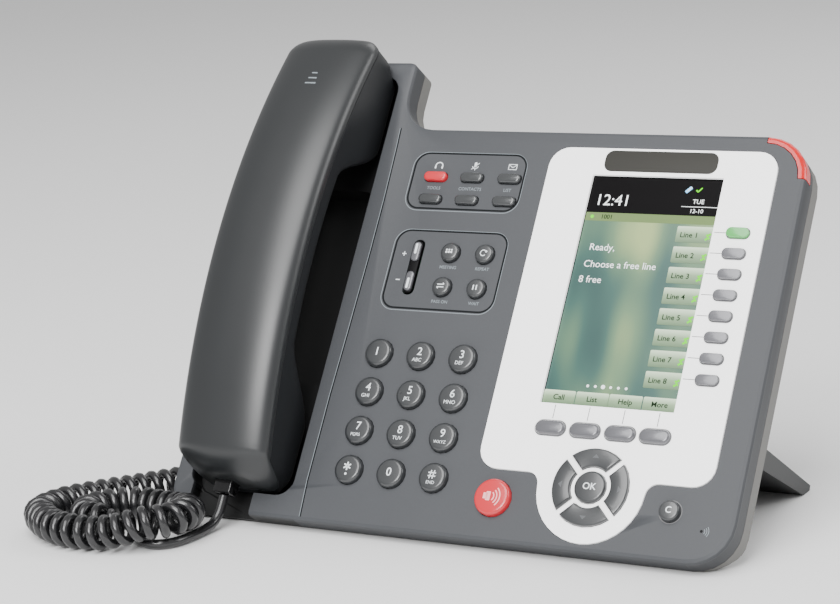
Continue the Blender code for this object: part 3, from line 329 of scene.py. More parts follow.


# the leaf's darker colour is painted shade
standLook = {"cheeks": (0.016, 0.0175, 0.018), "leaf": (0.012, 0.012, 0.013, 1), "leafHalf": 0.1039}


def standMaterial():
    # grey cheeks at both ends, and the leaf between them darker as painted shade
    material = grainMaterial("standGrey", standLook["cheeks"], 0.5, scale=1100.0, depth=0.3)
    tree, shader, varied = grainParts(material)
    along = objectPlace(tree)[1]
    inside = mathNode(tree, "LESS_THAN", mathNode(tree, "ABSOLUTE", along["X"]), standLook["leafHalf"])
    setSockets(tree, shader, {"Base Color": mixColours(tree, inside, varied, standLook["leaf"])})
    return material


finish = {
    "cover": coverMaterial(),
    "stand": standMaterial(),
    "wallpaper": wallpaperMaterial(),
    "label": labelMaterial(),
    "shell": grainMaterial("shellWarmGrey", (0.135, 0.132, 0.124), 0.5, depth=0.35, Specular_IOR_Level=0.35),
    "handset": grainMaterial("handsetCharcoal", (0.0105, 0.0120, 0.0132), 0.36, spread=0.08, scale=1600.0,
                             depth=0.25, Specular_IOR_Level=0.72),
    "handsetInner": grainMaterial("handsetInner", (0.009, 0.010, 0.0115), 0.45, depth=0.3,
                                  Specular_IOR_Level=0.35),
    # the bezel's glow is painted light on white plastic that holds no lamp
    "bezel": grainMaterial("bezelWhiteGlow", (0.94, 0.94, 0.94), 0.35, spread=0.01, depth=0.05,
                           Emission_Color=(1, 1, 1, 1), Emission_Strength=0.8),
    "keyDark": grainMaterial("keyDark", (0.022, 0.024, 0.026), 0.34, depth=0.08, Specular_IOR_Level=0.6,
                             Coat_Weight=0.8, Coat_Roughness=0.16),
    "keySilver": grainMaterial("keySilver", (0.13, 0.13, 0.142), 0.24, depth=0.05, Metallic=0.35,
                               Coat_Weight=0.7, Coat_Roughness=0.10),
    "keyBar": grainMaterial("keyBar", (0.055, 0.058, 0.060), 0.20, depth=0.05, Metallic=0.4, Coat_Weight=0.9,
                            Coat_Roughness=0.10),
    "keyRed": grainMaterial("keyRed", (0.55, 0.018, 0.028), 0.24, spread=0.03, depth=0.03, Coat_Weight=0.6,
                            Coat_Roughness=0.1, Emission_Color=(0.8, 0.02, 0.03, 1), Emission_Strength=0.12),
    "keyGreen": grainMaterial("keyGreen", (0.06, 0.38, 0.075), 0.24, spread=0.03, depth=0.03,
                              Coat_Weight=0.6, Coat_Roughness=0.1, Emission_Color=(0.05, 0.5, 0.07, 1),
                              Emission_Strength=0.2),
    "lamp": grainMaterial("lampRed", (0.50, 0.002, 0.002), 0.25, spread=0.03, depth=0.03, Coat_Weight=0.3,
                          Coat_Roughness=0.08, Emission_Color=(0.8, 0.0, 0.0, 1), Emission_Strength=0.22),
    # black plastic, and also the painted shade inside holes, vents and screw wells
    "black": grainMaterial("blackPartAndHoleShade", (0.003, 0.003, 0.0035), 0.6, depth=0.1, Specular_IOR_Level=0.15),
    "groove": grainMaterial("grooveShade", (0.004, 0.005, 0.006), 0.6, depth=0.1, Specular_IOR_Level=0.15),
    "print": grainMaterial("whitePrint", (0.78, 0.82, 0.84), 0.5, spread=0.02, depth=0.02),
    # this grey print also serves as the painted highlight along the grooves and the parting line
    "dimPrintAndEdgeLight": grainMaterial("greyPrintAndEdgeLight", (0.20, 0.23, 0.25), 0.5, spread=0.02, depth=0.02),
    "redPrint": litMaterial("pinkPrint", (0.9, 0.42, 0.42), 0.25),
    "arrow": grainMaterial("arrowPrint", (0.085, 0.09, 0.095), 0.4, spread=0.02, depth=0.02),
    # the leader line colour also paints the shade in the key wells
    "leaderAndWellShade": grainMaterial("leaderLineAndWellShade", (0.16, 0.16, 0.165), 0.5, spread=0.02, depth=0.02),
    "badge": grainMaterial("badgePlate", (0.040, 0.039, 0.035), 0.5, depth=0.1, Specular_IOR_Level=0.1),
    "screenBlack": litMaterial("screenBlack", (0.004, 0.0036, 0.004), 0.02, roughness=0.3),
    "screenOlive": litMaterial("screenOlive", (0.13, 0.19, 0.075), 0.35),
    "screenWhite": litMaterial("screenWhite", (0.85, 0.88, 0.88), 0.5),
    "screenDark": litMaterial("screenDark", (0.010, 0.022, 0.010), 0.05),
    "screenGreen": litMaterial("screenGreen", (0.10, 0.60, 0.004), 0.6),
    "screenBlue": litMaterial("screenBlue", (0.25, 0.55, 0.85), 0.7),
    "cord": grainMaterial("cordBlack", (0.010, 0.010, 0.011), 0.27, spread=0.05, scale=600.0, depth=0.05,
                          Specular_IOR_Level=0.6, Coat_Weight=0.25, Coat_Roughness=0.2),
    "metal": grainMaterial("platedMetal", (0.55, 0.55, 0.53), 0.28, depth=0.05, Metallic=1.0),
    "gold": grainMaterial("goldContact", (0.80, 0.60, 0.28), 0.22, spread=0.02, depth=0.02, Metallic=1.0),
    "board": grainMaterial("boardGreen", (0.03, 0.15, 0.06), 0.45, depth=0.1),
    "plug": grainMaterial("smokedPlug", (0.012, 0.012, 0.013), 0.12, spread=0.02, depth=0.02,
                          Transmission_Weight=0.5, IOR=1.5),
    "floor": grainMaterial("paleFloor", studio["floorColour"], 0.8, spread=0.005, scale=300.0, depth=0.02),
}
print(len(finish), "materials ready")

# making and placing pieces

flatArea = 0.00006


def addPiece(name, mesh, body, materials, place=faceMatrix, replaced=(), sharp=38.0,
             flatFace=False):
    # a finished bmesh becomes a smooth shaded piece that rides on a CAD body
    bmesh.ops.remove_doubles(mesh, verts=mesh.verts, dist=1e-4 if place is not None else tiny)
    bmesh.ops.recalc_face_normals(mesh, faces=mesh.faces)
    if place is not None:
        bmesh.ops.transform(mesh, matrix=place, verts=mesh.verts)
    data = bpy.data.meshes.new(name)
    mesh.to_mesh(data)
    mesh.free()
    # broad flat faces keep their own normal, and everything between them is shaded smooth
    faceNormal = (faceMatrix.to_3x3() @ Vector((0, 0, 1))).normalized()
    data.polygons.foreach_set("use_smooth", [part.area < flatArea and not (
        flatFace and abs(part.normal.dot(faceNormal)) > 0.9999) for part in data.polygons])
    data.set_sharp_from_angle(angle=math.radians(sharp))
    for material in materials:
        data.materials.append(finish[material])
    piece = bpy.data.objects.new(name, data)
    bpy.context.scene.collection.objects.link(piece)
    if body:
        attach(piece, body)
    if replaced:
        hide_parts(*replaced)
    return piece


def joinInto(mesh, part, index=0):
    # adds a finished part to a piece's bmesh
    for side in part.faces:
        side.material_index = index
    data = bpy.data.meshes.new("part")
    part.to_mesh(data)
    part.free()
    mesh.from_mesh(data)
    bpy.data.meshes.remove(data)


def raisePlate(part, height, rim=0.0, segments=2):
    # lifts a part's flat faces into a closed plate and rounds its upper rim
    grown = bmesh.ops.extrude_face_region(part, geom=part.faces[:], use_keep_orig=True)["geom"]
    top = [item for item in grown if isinstance(item, bmesh.types.BMFace)]
    bmesh.ops.translate(part, verts=list({vert for side in top for vert in side.verts}), vec=(0, 0, height))
    bmesh.ops.recalc_face_normals(part, faces=part.faces)
    if rim:
        rimEdges = [edge for side in top for edge in side.edges
                    if any(other not in top for other in edge.link_faces)]
        bmesh.ops.bevel(part, geom=rimEdges, offset=rim, segments=segments, affect="EDGES", profile=0.5,
                        material=-1, clamp_overlap=True)
    return part


def flatBar(centre, size, corner=0.0, segments=5, turn=0.0, base=0.0):
    # a flat rectangle with rounded corners
    part = bmesh.new()
    bmesh.ops.create_grid(part, x_segments=1, y_segments=1, size=0.5)
    bmesh.ops.scale(part, verts=part.verts, vec=(size[0], size[1], 1))
    if corner:
        bmesh.ops.bevel(part, geom=part.verts[:], offset=min(corner, min(size) * 0.499), segments=segments,
                        affect="VERTICES", profile=0.5, material=-1)
    bmesh.ops.rotate(part, verts=part.verts, matrix=Matrix.Rotation(turn, 3, "Z"))
    bmesh.ops.translate(part, verts=part.verts, vec=(centre[0], centre[1], base))
    return part


def flatDisc(centre, radius, segments=24, base=0.0):
    part = bmesh.new()
    bmesh.ops.create_circle(part, cap_ends=True, radius=radius, segments=segments)
    bmesh.ops.translate(part, verts=part.verts, vec=(centre[0], centre[1], base))
    return part


def inkBar(mesh, centre, size, corner=0.0, turn=0.0, base=0.0, index=0, height=0.05):
    joinInto(mesh, raisePlate(flatBar(centre, size, corner, turn=turn, base=base), height), index)


def inkDisc(mesh, centre, radius, base=0.0, index=0, height=0.05, segments=20):
    joinInto(mesh, raisePlate(flatDisc(centre, radius, segments, base), height), index)


def inkRing(mesh, centre, size, corner, width, base=0.0, index=0, height=0.05, segments=8):
    # a rounded outline of the given width
    part = flatBar(centre, size, corner, segments=segments, base=base)
    middle = part.faces[:]
    bmesh.ops.inset_region(part, faces=middle, thickness=width, use_boundary=True,
                           use_even_offset=True)
    bmesh.ops.delete(part, geom=middle, context="FACES_ONLY")
    joinInto(mesh, raisePlate(part, height), index)


def inkArc(mesh, centre, radius, width, start, end, base=0.0, index=0, height=0.05, steps=10):
    # part of a ring, from start to end in degrees
    part = bmesh.new()
    ends = [part.verts.new((radius + shift * width / 2, 0, 0)) for shift in (-1, 1)]
    edge = part.edges.new(ends)
    bmesh.ops.rotate(part, verts=ends, matrix=Matrix.Rotation(math.radians(start), 3, "Z"))
    bmesh.ops.spin(part, geom=ends + [edge], axis=(0, 0, 1), angle=math.radians(end - start), steps=steps)
    bmesh.ops.translate(part, verts=part.verts, vec=(centre[0], centre[1], base))
    joinInto(mesh, raisePlate(part, height), index)


def inkText(mesh, words, centre, size, base=0.0, index=0, height=0.05, bold=0.0):
    # digits and generic letters from the built-in face, centred on a place
    curve = bpy.data.curves.new("legend", "FONT")
    curve.body = words
    curve.size = size
    curve.align_x = "CENTER"
    curve.align_y = "CENTER"
    curve.extrude = height / 2
    curve.offset = bold
    curve.resolution_u = 3
    holder = bpy.data.objects.new("legend", curve)
    bpy.context.scene.collection.objects.link(holder)
    made = bpy.data.meshes.new_from_object(holder.evaluated_get(bpy.context.evaluated_depsgraph_get()))
    made.transform(Matrix.Translation((centre[0], centre[1], base + height / 2)))
    made.polygons.foreach_set("material_index", [index] * len(made.polygons))
    mesh.from_mesh(made)
    bpy.data.objects.remove(holder)
    bpy.data.curves.remove(curve)
    bpy.data.meshes.remove(made)


def shapeOver(verts, section):
    # moves the ring's vertices onto a section given as a list of points
    for vert, point in zip(verts, section):
        vert.co = point


def loftRings(mesh, sections):
    # a closed skin: one ring, extruded to each section in turn, with capped ends
    first = bmesh.ops.create_circle(mesh, segments=len(sections[0]), radius=1.0)["verts"]
    shapeOver(first, sections[0])
    ring = first
    edges = list({edge for vert in ring for edge in vert.link_edges})
    bmesh.ops.contextual_create(mesh, geom=edges)
    for section in sections[1:]:
        grown = bmesh.ops.extrude_edge_only(mesh, edges=edges)["geom"]
        fresh = {item for item in grown if isinstance(item, bmesh.types.BMVert)}
        partner = {}
        for vert in ring:
            for edge in vert.link_edges:
                other = edge.other_vert(vert)
                if other in fresh:
                    partner[vert] = other
        ring = [partner[vert] for vert in ring]
        shapeOver(ring, section)
        edges = [item for item in grown if isinstance(item, bmesh.types.BMEdge)
                 and all(vert in fresh for vert in item.verts)]
    bmesh.ops.contextual_create(mesh, geom=edges)


def smoothRoute(points, spacing):
    # even points along a smooth curve through the route's own points
    points = [Vector(point) for point in points]
    route = [2 * points[0] - points[1]] + points + [2 * points[-1] - points[-2]]
    dense = []
    for a, b, c, d in zip(route, route[1:], route[2:], route[3:]):
        for step in range(16):
            t = step / 16
            dense.append(0.5 * (2 * b + (c - a) * t + (2 * a - 5 * b + 4 * c - d) * t * t
                                + (3 * b - a - 3 * c + d) * t ** 3))
    dense.append(points[-1])
    total = sum((q - p).length for p, q in zip(dense, dense[1:]))
    count = max(2, round(total / spacing))
    even = [dense[0]]
    walked = 0.0
    for p, q in zip(dense, dense[1:]):
        length = (q - p).length
        while len(even) < count and walked + length >= total * len(even) / count:
            even.append(p.lerp(q, (total * len(even) / count - walked) / length))
        walked += length
    return even + [dense[-1]]


def routeLength(points):
    return sum((q - p).length for p, q in zip(points, points[1:]))


# the curly cord

cord = {
    "wire": 3.7, "turnRadius": 4.95, "pitch": 5.2, "turnPoints": 16, "taper": 6.0, "leadSides": 16,
    "exit": (-113.3, -2.7, 27.2),
    "baseLead": ((-113.3, -2.7, 27.2), (-117.6, -2.7, 27.2), (-121.4, -2.5, 25.6), (-123.4, -2.1, 21.2),
                 (-122.6, -1.7, 16.2), (-119.6, -2.4, 11.6), (-116.6, -5.4, 8.4), (-115.5, -9.8, 7.2),
                 (-116.9, -14.2, 7.0)),
    "curl": ((-119.0, -18.4, 7.0), (-127.2, -33.2, 7.0), (-138.6, -48.7, 7.0), (-149.6, -63.0, 7.0),
             (-156.0, -75.3, 7.0), (-156.6, -87.7, 7.0), (-149.8, -95.7, 7.0), (-139.5, -102.0, 7.0),
             (-128.3, -104.4, 7.0), (-117.8, -103.7, 7.2), (-108.3, -101.6, 9.0), (-100.2, -98.2, 11.2),
             (-93.4, -92.8, 11.4), (-92.2, -83.6, 11.3), (-96.6, -74.2, 9.6), (-104.6, -68.2, 7.7),
             (-114.5, -65.8, 7.0), (-125.5, -64.6, 7.0), (-135.0, -69.3, 7.0), (-139.5, -78.5, 7.0),
             (-136.0, -86.7, 7.0), (-128.5, -89.0, 7.0), (-121.0, -88.0, 7.0)),
    "handsetLead": ((-117.4, -87.6, 6.7), (-113.8, -88.4, 4.6), (-110.2, -90.4, 2.5), (-106.0, -93.0, 2.1),
                    (-101.0, -95.0, 2.1), (-96.4, -94.0, 2.1), (-92.6, -89.4, 2.1), (-91.0, -82.4, 2.1),
                    (-90.6, -75.0, 2.1), (-90.0, -68.1, 3.2), (-89.6, -64.3, 5.8), (-89.5, -61.9, 8.9),
                    (-89.5, -59.8, 12.0))}


def coilPoints():
    # the curl's wire: a helix about the curl's middle line, drawn in at both ends
    spine = smoothRoute(cord["curl"], 0.5)
    total = routeLength(spine)
    turns = round(total / cord["pitch"])
    count = turns * cord["turnPoints"]
    side = (spine[1] - spine[0]).orthogonal().normalized()
    points = []
    walked = 0.0
    place = 0
    for step in range(count + 1):
        target = total * step / count
        while place < len(spine) - 2 and walked + (spine[place + 1] - spine[place]).length < target:
            walked += (spine[place + 1] - spine[place]).length
            place += 1
        along = (spine[place + 1] - spine[place]).normalized()
        centre = spine[place] + along * (target - walked)
        side = (side - along * side.dot(along)).normalized()
        reach = min(1.0, target / cord["taper"], (total - target) / cord["taper"])
        radius = cord["turnRadius"] * math.sin(reach * math.pi / 2)
        turn = 2 * math.pi * step / cord["turnPoints"]
        points.append(centre + radius * (math.cos(turn) * side + math.sin(turn) * along.cross(side)))
    return points


def makeCurlyCord():
    lead = smoothRoute(cord["baseLead"], cord["wire"] * 0.6)
    wire = [point * mm for point in lead + coilPoints()[2:]]
    curve = bpy.data.curves.new("cordCoil", "CURVE")
    curve.dimensions = "3D"
    curve.bevel_depth = cord["wire"] / 2 * mm
    curve.bevel_resolution = 3
    curve.use_fill_caps = True
    spline = curve.splines.new("POLY")
    spline.points.add(len(wire) - 1)
    for target, point in zip(spline.points, wire):
        target.co = (*point, 1.0)
    spline.use_smooth = True
    curve.materials.append(finish["cord"])
    piece = bpy.data.objects.new("cordCoil", curve)
    bpy.context.scene.collection.objects.link(piece)
    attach(piece, "console")
    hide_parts("cord_curl", "cord_lead_base")
    return piece, routeLength(wire)


def makeHandsetLead():
    path = [point * mm for point in smoothRoute(cord["handsetLead"], cord["wire"] * 0.5)]
    mesh = bmesh.new()
    sections = []
    side = Vector((0, 0, 1))
    for index, point in enumerate(path):
        along = (path[min(index + 1, len(path) - 1)] - path[max(index - 1, 0)]).normalized()
        side = (side - along * side.dot(along)).normalized()
        over = along.cross(side)
        turns = [2 * math.pi * step / cord["leadSides"] for step in range(cord["leadSides"])]
        sections.append([point + cord["wire"] / 2 * mm * (math.cos(turn) * side + math.sin(turn) * over)
                         for turn in turns])
    loftRings(mesh, sections)
    piece = addPiece("cordLead", mesh, None, ["cord"], place=None, replaced=("cord_lead_handset",))
    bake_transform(piece)
    return piece, path


plugShape = {"edge": 0.5, "contacts": 4, "contactPitch": 1.1, "blade": (0.5, 4.2, 0.35), "bladeEdge": 0.08,
             "bladeForward": 0.22, "bladeSunk": 0.05}


def makePlug(name, node, body, tip):
    # a smoked modular plug with its gold blades; tip is the axis that it plugs in along
    low, high = faceBox(node)
    mesh = bmesh.new()
    middle = (low + high) / 2
    size = high - low
    bmesh.ops.create_cube(mesh, size=1.0)
    bmesh.ops.scale(mesh, verts=mesh.verts, vec=size)
    bmesh.ops.bevel(mesh, geom=mesh.edges[:], offset=plugShape["edge"], segments=3, affect="EDGES",
                    profile=0.5, material=-1)
    bmesh.ops.translate(mesh, verts=mesh.verts, vec=middle)
    addPiece(name, mesh, body, ["plug"], replaced=(node,))
    axis = 0 if tip == "x" else 1
    wide = 1 - axis
    blades = bmesh.new()
    for index in range(plugShape["contacts"]):
        made = bmesh.ops.create_cube(blades, size=1.0)["verts"]
        thin, long, tall = plugShape["blade"]
        bmesh.ops.scale(blades, verts=made, vec=(long, thin, tall) if axis == 0 else (thin, long, tall))
        edges = list({edge for vert in made for edge in vert.link_edges})
        grown = bmesh.ops.bevel(blades, geom=edges, offset=plugShape["bladeEdge"], segments=2,
                                affect="EDGES", profile=0.5, material=-1)["verts"]
        spot = Vector(middle)
        spot[wide] += (index - 1.5) * plugShape["contactPitch"]
        spot[axis] += size[axis] * plugShape["bladeForward"]
        spot[2] = high[2] - plugShape["bladeSunk"]
        bmesh.ops.translate(blades, verts=grown, vec=spot)
    addPiece(name + "Contacts", blades, body, ["gold"])


curlyCord, coilLength = makeCurlyCord()
cordLead, leadPath = makeHandsetLead()
makePlug("basePlug", "base_plug", "console", "x")
makePlug("handsetPlug", "handset_plug", "handset", "y")
print(f"cord made, {coilLength:.3f} m of wire in the curl")


# the handset

handset = {
    "middle": -86.0, "width": 41.0, "low": 10.5, "high": 199.0, "archV": 106.0, "archN": 31.3,
    "archRate": 0.0018, "crown": 7.5, "grip": 11.0, "endRadius": 9.0, "cupBottom": -6.0,
    "earEnd": (189.3, 190.5), "overhang": 0.8,
    "mouthCup": (36.0, 66.0), "earCup": (136.0, 160.0), "wrap": 16.5, "wrapEnd": 18.5, "roundness": 2.5,
    "seam": 0.45, "lipInset": 0.35, "ringHalf": 16, "stations": 64}


grille = {"pieces": (("earGrille", 176.0, 11.0, 3), ("mouthGrille", 28.0, 6.0, 2)), "ringStep": 2.6,
          "holesPerRing": 6, "hole": 0.6}
riseMark = {"v": 172.0, "step": 2.6, "bars": 3, "aside": 1.0, "longest": 5.0, "shorter": 1.2, "thick": 0.8}


def easeBetween(start, end, value):
    t = min(1.0, max(0.0, (value - start) / (end - start)))
    return t * t * (3 - 2 * t)


def archHeight(v):
    return handset["archN"] - handset["archRate"] * (v - handset["archV"]) ** 2


def seamHeight(v):
    return archHeight(v) - handset["wrap"] * (1 - easeBetween(handset["low"], handset["wrapEnd"], v))


def undersideHeight(v):
    grip = archHeight(v) - handset["grip"]
    cup = max(1 - easeBetween(*handset["mouthCup"], v), easeBetween(*handset["earCup"], v))
    height = grip + (handset["cupBottom"] - grip) * cup
    return height + (handset["overhang"] - handset["cupBottom"]) * easeBetween(*handset["earEnd"], v)


def endShare(v):
    t = min(1.0, max(0.0, min(v - handset["low"], handset["high"] - v) / handset["endRadius"]))
    return math.sqrt(max(0.0, 1 - (1 - t) ** 2))


def halfWidth(v):
    return handset["width"] / 2 - handset["endRadius"] * (1 - endShare(v))


def handsetStations():
    # close together round both ends, even between
    shares = [0.006, 0.03, 0.07, 0.13, 0.2, 0.3, 0.42, 0.56, 0.72, 0.88, 1.0]
    low = [handset["low"] + handset["endRadius"] * share for share in shares]
    high = [handset["high"] - handset["endRadius"] * share for share in shares]
    step = (high[-1] - low[-1]) / handset["stations"]
    return low + [low[-1] + step * index for index in range(1, handset["stations"])] + high[::-1]


def crownSection(v):
    half = halfWidth(v)
    seam = seamHeight(v) + handset["seam"] / 2
    rise = archHeight(v) - seam + handset["crown"] * max(endShare(v), 0.12)
    power = 2 / handset["roundness"]
    points = []
    for step in range(handset["ringHalf"] * 2 + 1):
        angle = math.pi * step / (handset["ringHalf"] * 2)
        across = math.copysign(abs(math.cos(angle)) ** power, math.cos(angle))
        points.append(Vector((handset["middle"] + half * across, v, seam + rise * math.sin(angle) ** power)))
    return points


def innerSection(v):
    half = halfWidth(v)
    seam = seamHeight(v) - handset["seam"] / 2
    low = undersideHeight(v)
    tall = seam - low
    corner = min(4.0, tall * 0.45)
    side = [(half - 1.5, seam), (half - 0.45, seam - 0.05), (half - 0.1, seam - 0.35),
            (half - 0.1, seam - 0.9), (half - handset["lipInset"] - 0.15, seam - 1.2),
            (half - 1.0, low + tall * 0.5)]
    for step in range(5):
        angle = math.pi / 2 * step / 4
        side.append((half - 1.2 - corner * (1 - math.cos(angle)), low + corner * (1 - math.sin(angle))))
    left = [(-across, up) for across, up in reversed(side)]
    return [Vector((handset["middle"] + across, v, up)) for across, up in side + left]


def cutBox(mesh, low, high):
    # a Boolean cutter's plain box
    made = bmesh.ops.create_cube(mesh, size=1.0)["verts"]
    bmesh.ops.scale(mesh, verts=made, vec=Vector(high) - Vector(low))
    bmesh.ops.translate(mesh, verts=made, vec=(Vector(high) + Vector(low)) / 2)


def cutWith(piece, cutter):
    # takes the cutter's bmesh away from a piece, then drops the cutter
    bmesh.ops.transform(cutter, matrix=faceMatrix, verts=cutter.verts)
    data = bpy.data.meshes.new("cutter")
    cutter.to_mesh(data)
    cutter.free()
    holder = bpy.data.objects.new("cutter", data)
    bpy.context.scene.collection.objects.link(holder)
    step = piece.modifiers.new("cut", "BOOLEAN")
    step.operation = "DIFFERENCE"
    step.solver = "EXACT"
    step.object = holder
    made = bpy.data.meshes.new_from_object(piece.evaluated_get(bpy.context.evaluated_depsgraph_get()))
    piece.modifiers.clear()
    name = piece.data.name
    old = piece.data
    piece.data = made
    bpy.data.meshes.remove(old)
    made.name = name
    made.polygons.foreach_set("use_smooth", [True] * len(made.polygons))
    made.set_sharp_from_angle(angle=math.radians(32))
    bpy.data.objects.remove(holder)
    bpy.data.meshes.remove(data)


def makeHandset():
    stations = handsetStations()
    outer = bmesh.new()
    loftRings(outer, [crownSection(v) for v in stations])
    outerPiece = addPiece("handsetOuter", outer, "handset", ["handset"],
                          replaced=("handset_outer_shell",), sharp=32)
    inner = bmesh.new()
    loftRings(inner, [innerSection(v) for v in stations])
    innerPiece = addPiece("handsetInner", inner, "handset", ["handsetInner"],
                          replaced=("handset_inner_shell", "receiver_capsule", "transmitter_capsule"),
                          sharp=32)
    low, high = faceBox("handset_plug")
    for piece in (outerPiece, innerPiece):
        cutter = bmesh.new()
        cutBox(cutter, low - Vector((0.35, 5, 0.35)), high + Vector((0.35, 0.35, 0.35)))
        cutWith(piece, cutter)
    # the dark core that closes the seam, and the two grilles under the cups, their holes dark discs of
    # painted shade
    core = bmesh.new()
    sections = []
    for v in stations[3:-3]:
        half = halfWidth(v) - 1.3
        seam = seamHeight(v)
        sections.append([Vector((handset["middle"] + across, v, seam + up))
                         for across, up in ((half, -0.6), (half, 0.6), (-half, 0.6), (-half, -0.6))])
    loftRings(core, sections)
    addPiece("handsetSeamCore", core, "handset", ["black"])
    for name, place, radius, rings in grille["pieces"]:
        made = bmesh.new()
        base = handset["cupBottom"]
        inkDisc(made, (handset["middle"], place), radius, base - 0.25, height=0.3, segments=48)
        for ring in range(1, rings + 1):
            count = ring * grille["holesPerRing"]
            reach = ring * grille["ringStep"]
            for step in range(count):
                angle = 2 * math.pi * step / count
                spot = (handset["middle"] + reach * math.cos(angle), place + reach * math.sin(angle))
                inkDisc(made, spot, grille["hole"], base - 0.3, index=1, height=0.1, segments=12)
        addPiece(name, made, "handset", ["handset", "black"])
    # a small generic mark near the ear end: three rising bars
    mark = bmesh.new()
    for index in range(riseMark["bars"]):
        place = riseMark["v"] + index * riseMark["step"]
        top = archHeight(place) + handset["crown"] - 0.02
        inkBar(mark, (handset["middle"] + riseMark["aside"], place),
               (riseMark["longest"] - index * riseMark["shorter"], riseMark["thick"]), 0.3,
               base=top - 0.15, height=0.2)
    addPiece("handsetMark", mark, "handset", ["dimPrintAndEdgeLight"])


makeHandset()
print("handset made")


# the housing

def mergedCopy(node):
    # a CAD node's mesh, merged, for a piece that takes its place
    mesh = bmesh.new()
    mesh.from_mesh(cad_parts[node].data)
    bmesh.ops.remove_doubles(mesh, verts=mesh.verts, dist=0.000002)
    bmesh.ops.dissolve_limit(mesh, angle_limit=math.radians(0.6), verts=mesh.verts, edges=mesh.edges)
    return mesh


cradleRim = {"left": -110.6, "right": -63.4, "bottom": 12.0, "top": 191.6, "roll": 3.2, "segments": 5,
             "steepest": 1.2}


def rollCradleRim(mesh):
    # rounds the sharp edge where the face turns down into the cradle
    back = faceMatrix.inverted()
    rim = []
    for edge in mesh.edges:
        ends = [back @ vert.co for vert in edge.verts]
        inside = all(abs(point.z) < 0.02 and cradleRim["left"] < point.x < cradleRim["right"]
                     and cradleRim["bottom"] < point.y < cradleRim["top"] for point in ends)
        if inside and len(edge.link_faces) == 2 and edge.calc_face_angle(0.0) > cradleRim["steepest"]:
            rim.append(edge)
    bmesh.ops.bevel(mesh, geom=rim, offset=cradleRim["roll"] * mm, segments=cradleRim["segments"],
                    affect="EDGES", profile=0.5, material=-1, clamp_overlap=True)


def dressNode(name, material):
    # a CAD node keeps its mesh and gets a better material
    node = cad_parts[name]
    if not node.material_slots:
        node.data.materials.append(finish[material])
    for slotPlace in node.material_slots:
        slotPlace.link = "OBJECT"
        slotPlace.material = finish[material]


for node, material in (("lcd_module", "screenBlack"), ("main_board", "board"),
                       ("loudspeaker", "black"), ("hook_switch", "keyDark")):
    dressNode(node, material)

skins = (("coverSkin", "top_cover", "console", "cover", "cover", 30),
         ("shellSkin", "bottom_shell", "console", "shell", "shell", 30),
         ("bezelSkin", "bezel_plate", "console", "bezel", "bezel", 40),
         ("lampLens", "message_lamp", "console", "lamp", "lamp", 40),
         ("standSkin", "stand", "stand", "stand", "shell", 30))
for name, node, body, material, slotName, sharp in skins:
    skin = mergedCopy(node)
    if node == "top_cover":
        rollCradleRim(skin)
    addPiece(name, skin, body, [material], place=None, replaced=(node,), sharp=sharp,
             flatFace=True)
print("housing dressed")


# keys

keySeat = {"flange": 0.7, "base": -1.4, "markSunk": 0.02}


def keyCap(mesh, node, corner, rim, segments=4):
    # a cap over a CAD key: its outline from the node's upper box, rounded rim, closed sides
    low, high = faceBox(node)
    centre = ((low[0] + high[0]) / 2, (low[1] + high[1]) / 2)
    size = (high[0] - low[0] - 2 * keySeat["flange"], high[1] - low[1] - 2 * keySeat["flange"])
    if corner is None:
        part = flatDisc(centre, size[0] / 2, 48, keySeat["base"])
    else:
        part = flatBar(centre, size, corner, segments=10, base=keySeat["base"])
    joinInto(mesh, raisePlate(part, high[2] - keySeat["base"], rim, segments))
    return centre, high[2]


# small generic signs, in millimetres about their centres: a disc is x, y, radius, a bar is x, y, width,
# height, corner, turn, an arc is x, y, radius, width, start, end, and a ring is x, y, width, height,
# corner, line
signs = {
    "people": [shape for x in (-1.2, 0, 1.2)
               for shape in (("disc", x, 0.7, 0.42), ("bar", x, -0.35, 0.95, 0.9, 0.3, 0))],
    "again": [("arc", 0, 0, 1.35, 0.4, 30, 320), ("bar", 1.3, 0.7, 0.9, 0.9, 0, 45)],
    "pass": [("bar", 0, 0.55, 3.2, 0.42, 0, 0), ("bar", 1.3, 0.95, 0.9, 0.42, 0, -45),
             ("bar", 0, -0.65, 3.2, 0.42, 0, 0), ("bar", -1.3, -1.05, 0.9, 0.42, 0, -45)],
    "hold": [("bar", x, 0, 0.6, 2.3, 0.1, 0) for x in (-0.75, 0.75)],
    "speaker": [("bar", -1.7, 0, 1.3, 1.7, 0.1, 0), ("bar", -0.85, 0, 1.3, 2.6, 0.2, 0)]
    + [("arc", -0.6, 0, 1.5 + ring * 0.9, 0.36, -48, 48) for ring in range(3)],
    "star": [("bar", 0, 0.8, 3.4, 0.6, 0.2, turn) for turn in (30, 90, 150)] + [("disc", 0, -2.3, 0.5)],
    "hash": [shape for shift in (-0.65, 0.65) for shape in (
        ("bar", shift, 0.8, 0.45, 3.4, 0.1, -8), ("bar", 0, 0.8 + shift, 3.2, 0.45, 0.1, 0))],
    "headset": [("arc", 0, 0, 1.6, 0.45, 5, 175), ("bar", -1.5, -0.4, 0.7, 1.4, 0.25, 0),
                ("bar", 1.5, -0.4, 0.7, 1.4, 0.25, 0)],
    "microphone": [("bar", 0, 0.4, 1.1, 2.2, 0.5, 0), ("arc", 0, 0, 1.3, 0.3, 190, 350),
                   ("bar", 0, -1.6, 0.3, 0.8, 0, 0), ("bar", 0, -0.2, 4.2, 0.3, 0, 42)],
    "envelope": [("ring", 0, 0, 3.8, 2.5, 0.2, 0.3), ("bar", -0.85, 0.3, 2.1, 0.28, 0, -36),
                 ("bar", 0.85, 0.3, 2.1, 0.28, 0, 36)],
    "plus": [("bar", 0, 0, 1.8, 0.4, 0, 0), ("bar", 0, 0, 0.4, 1.8, 0, 0)],
    "minus": [("bar", 0, 0, 1.8, 0.4, 0, 0)]}


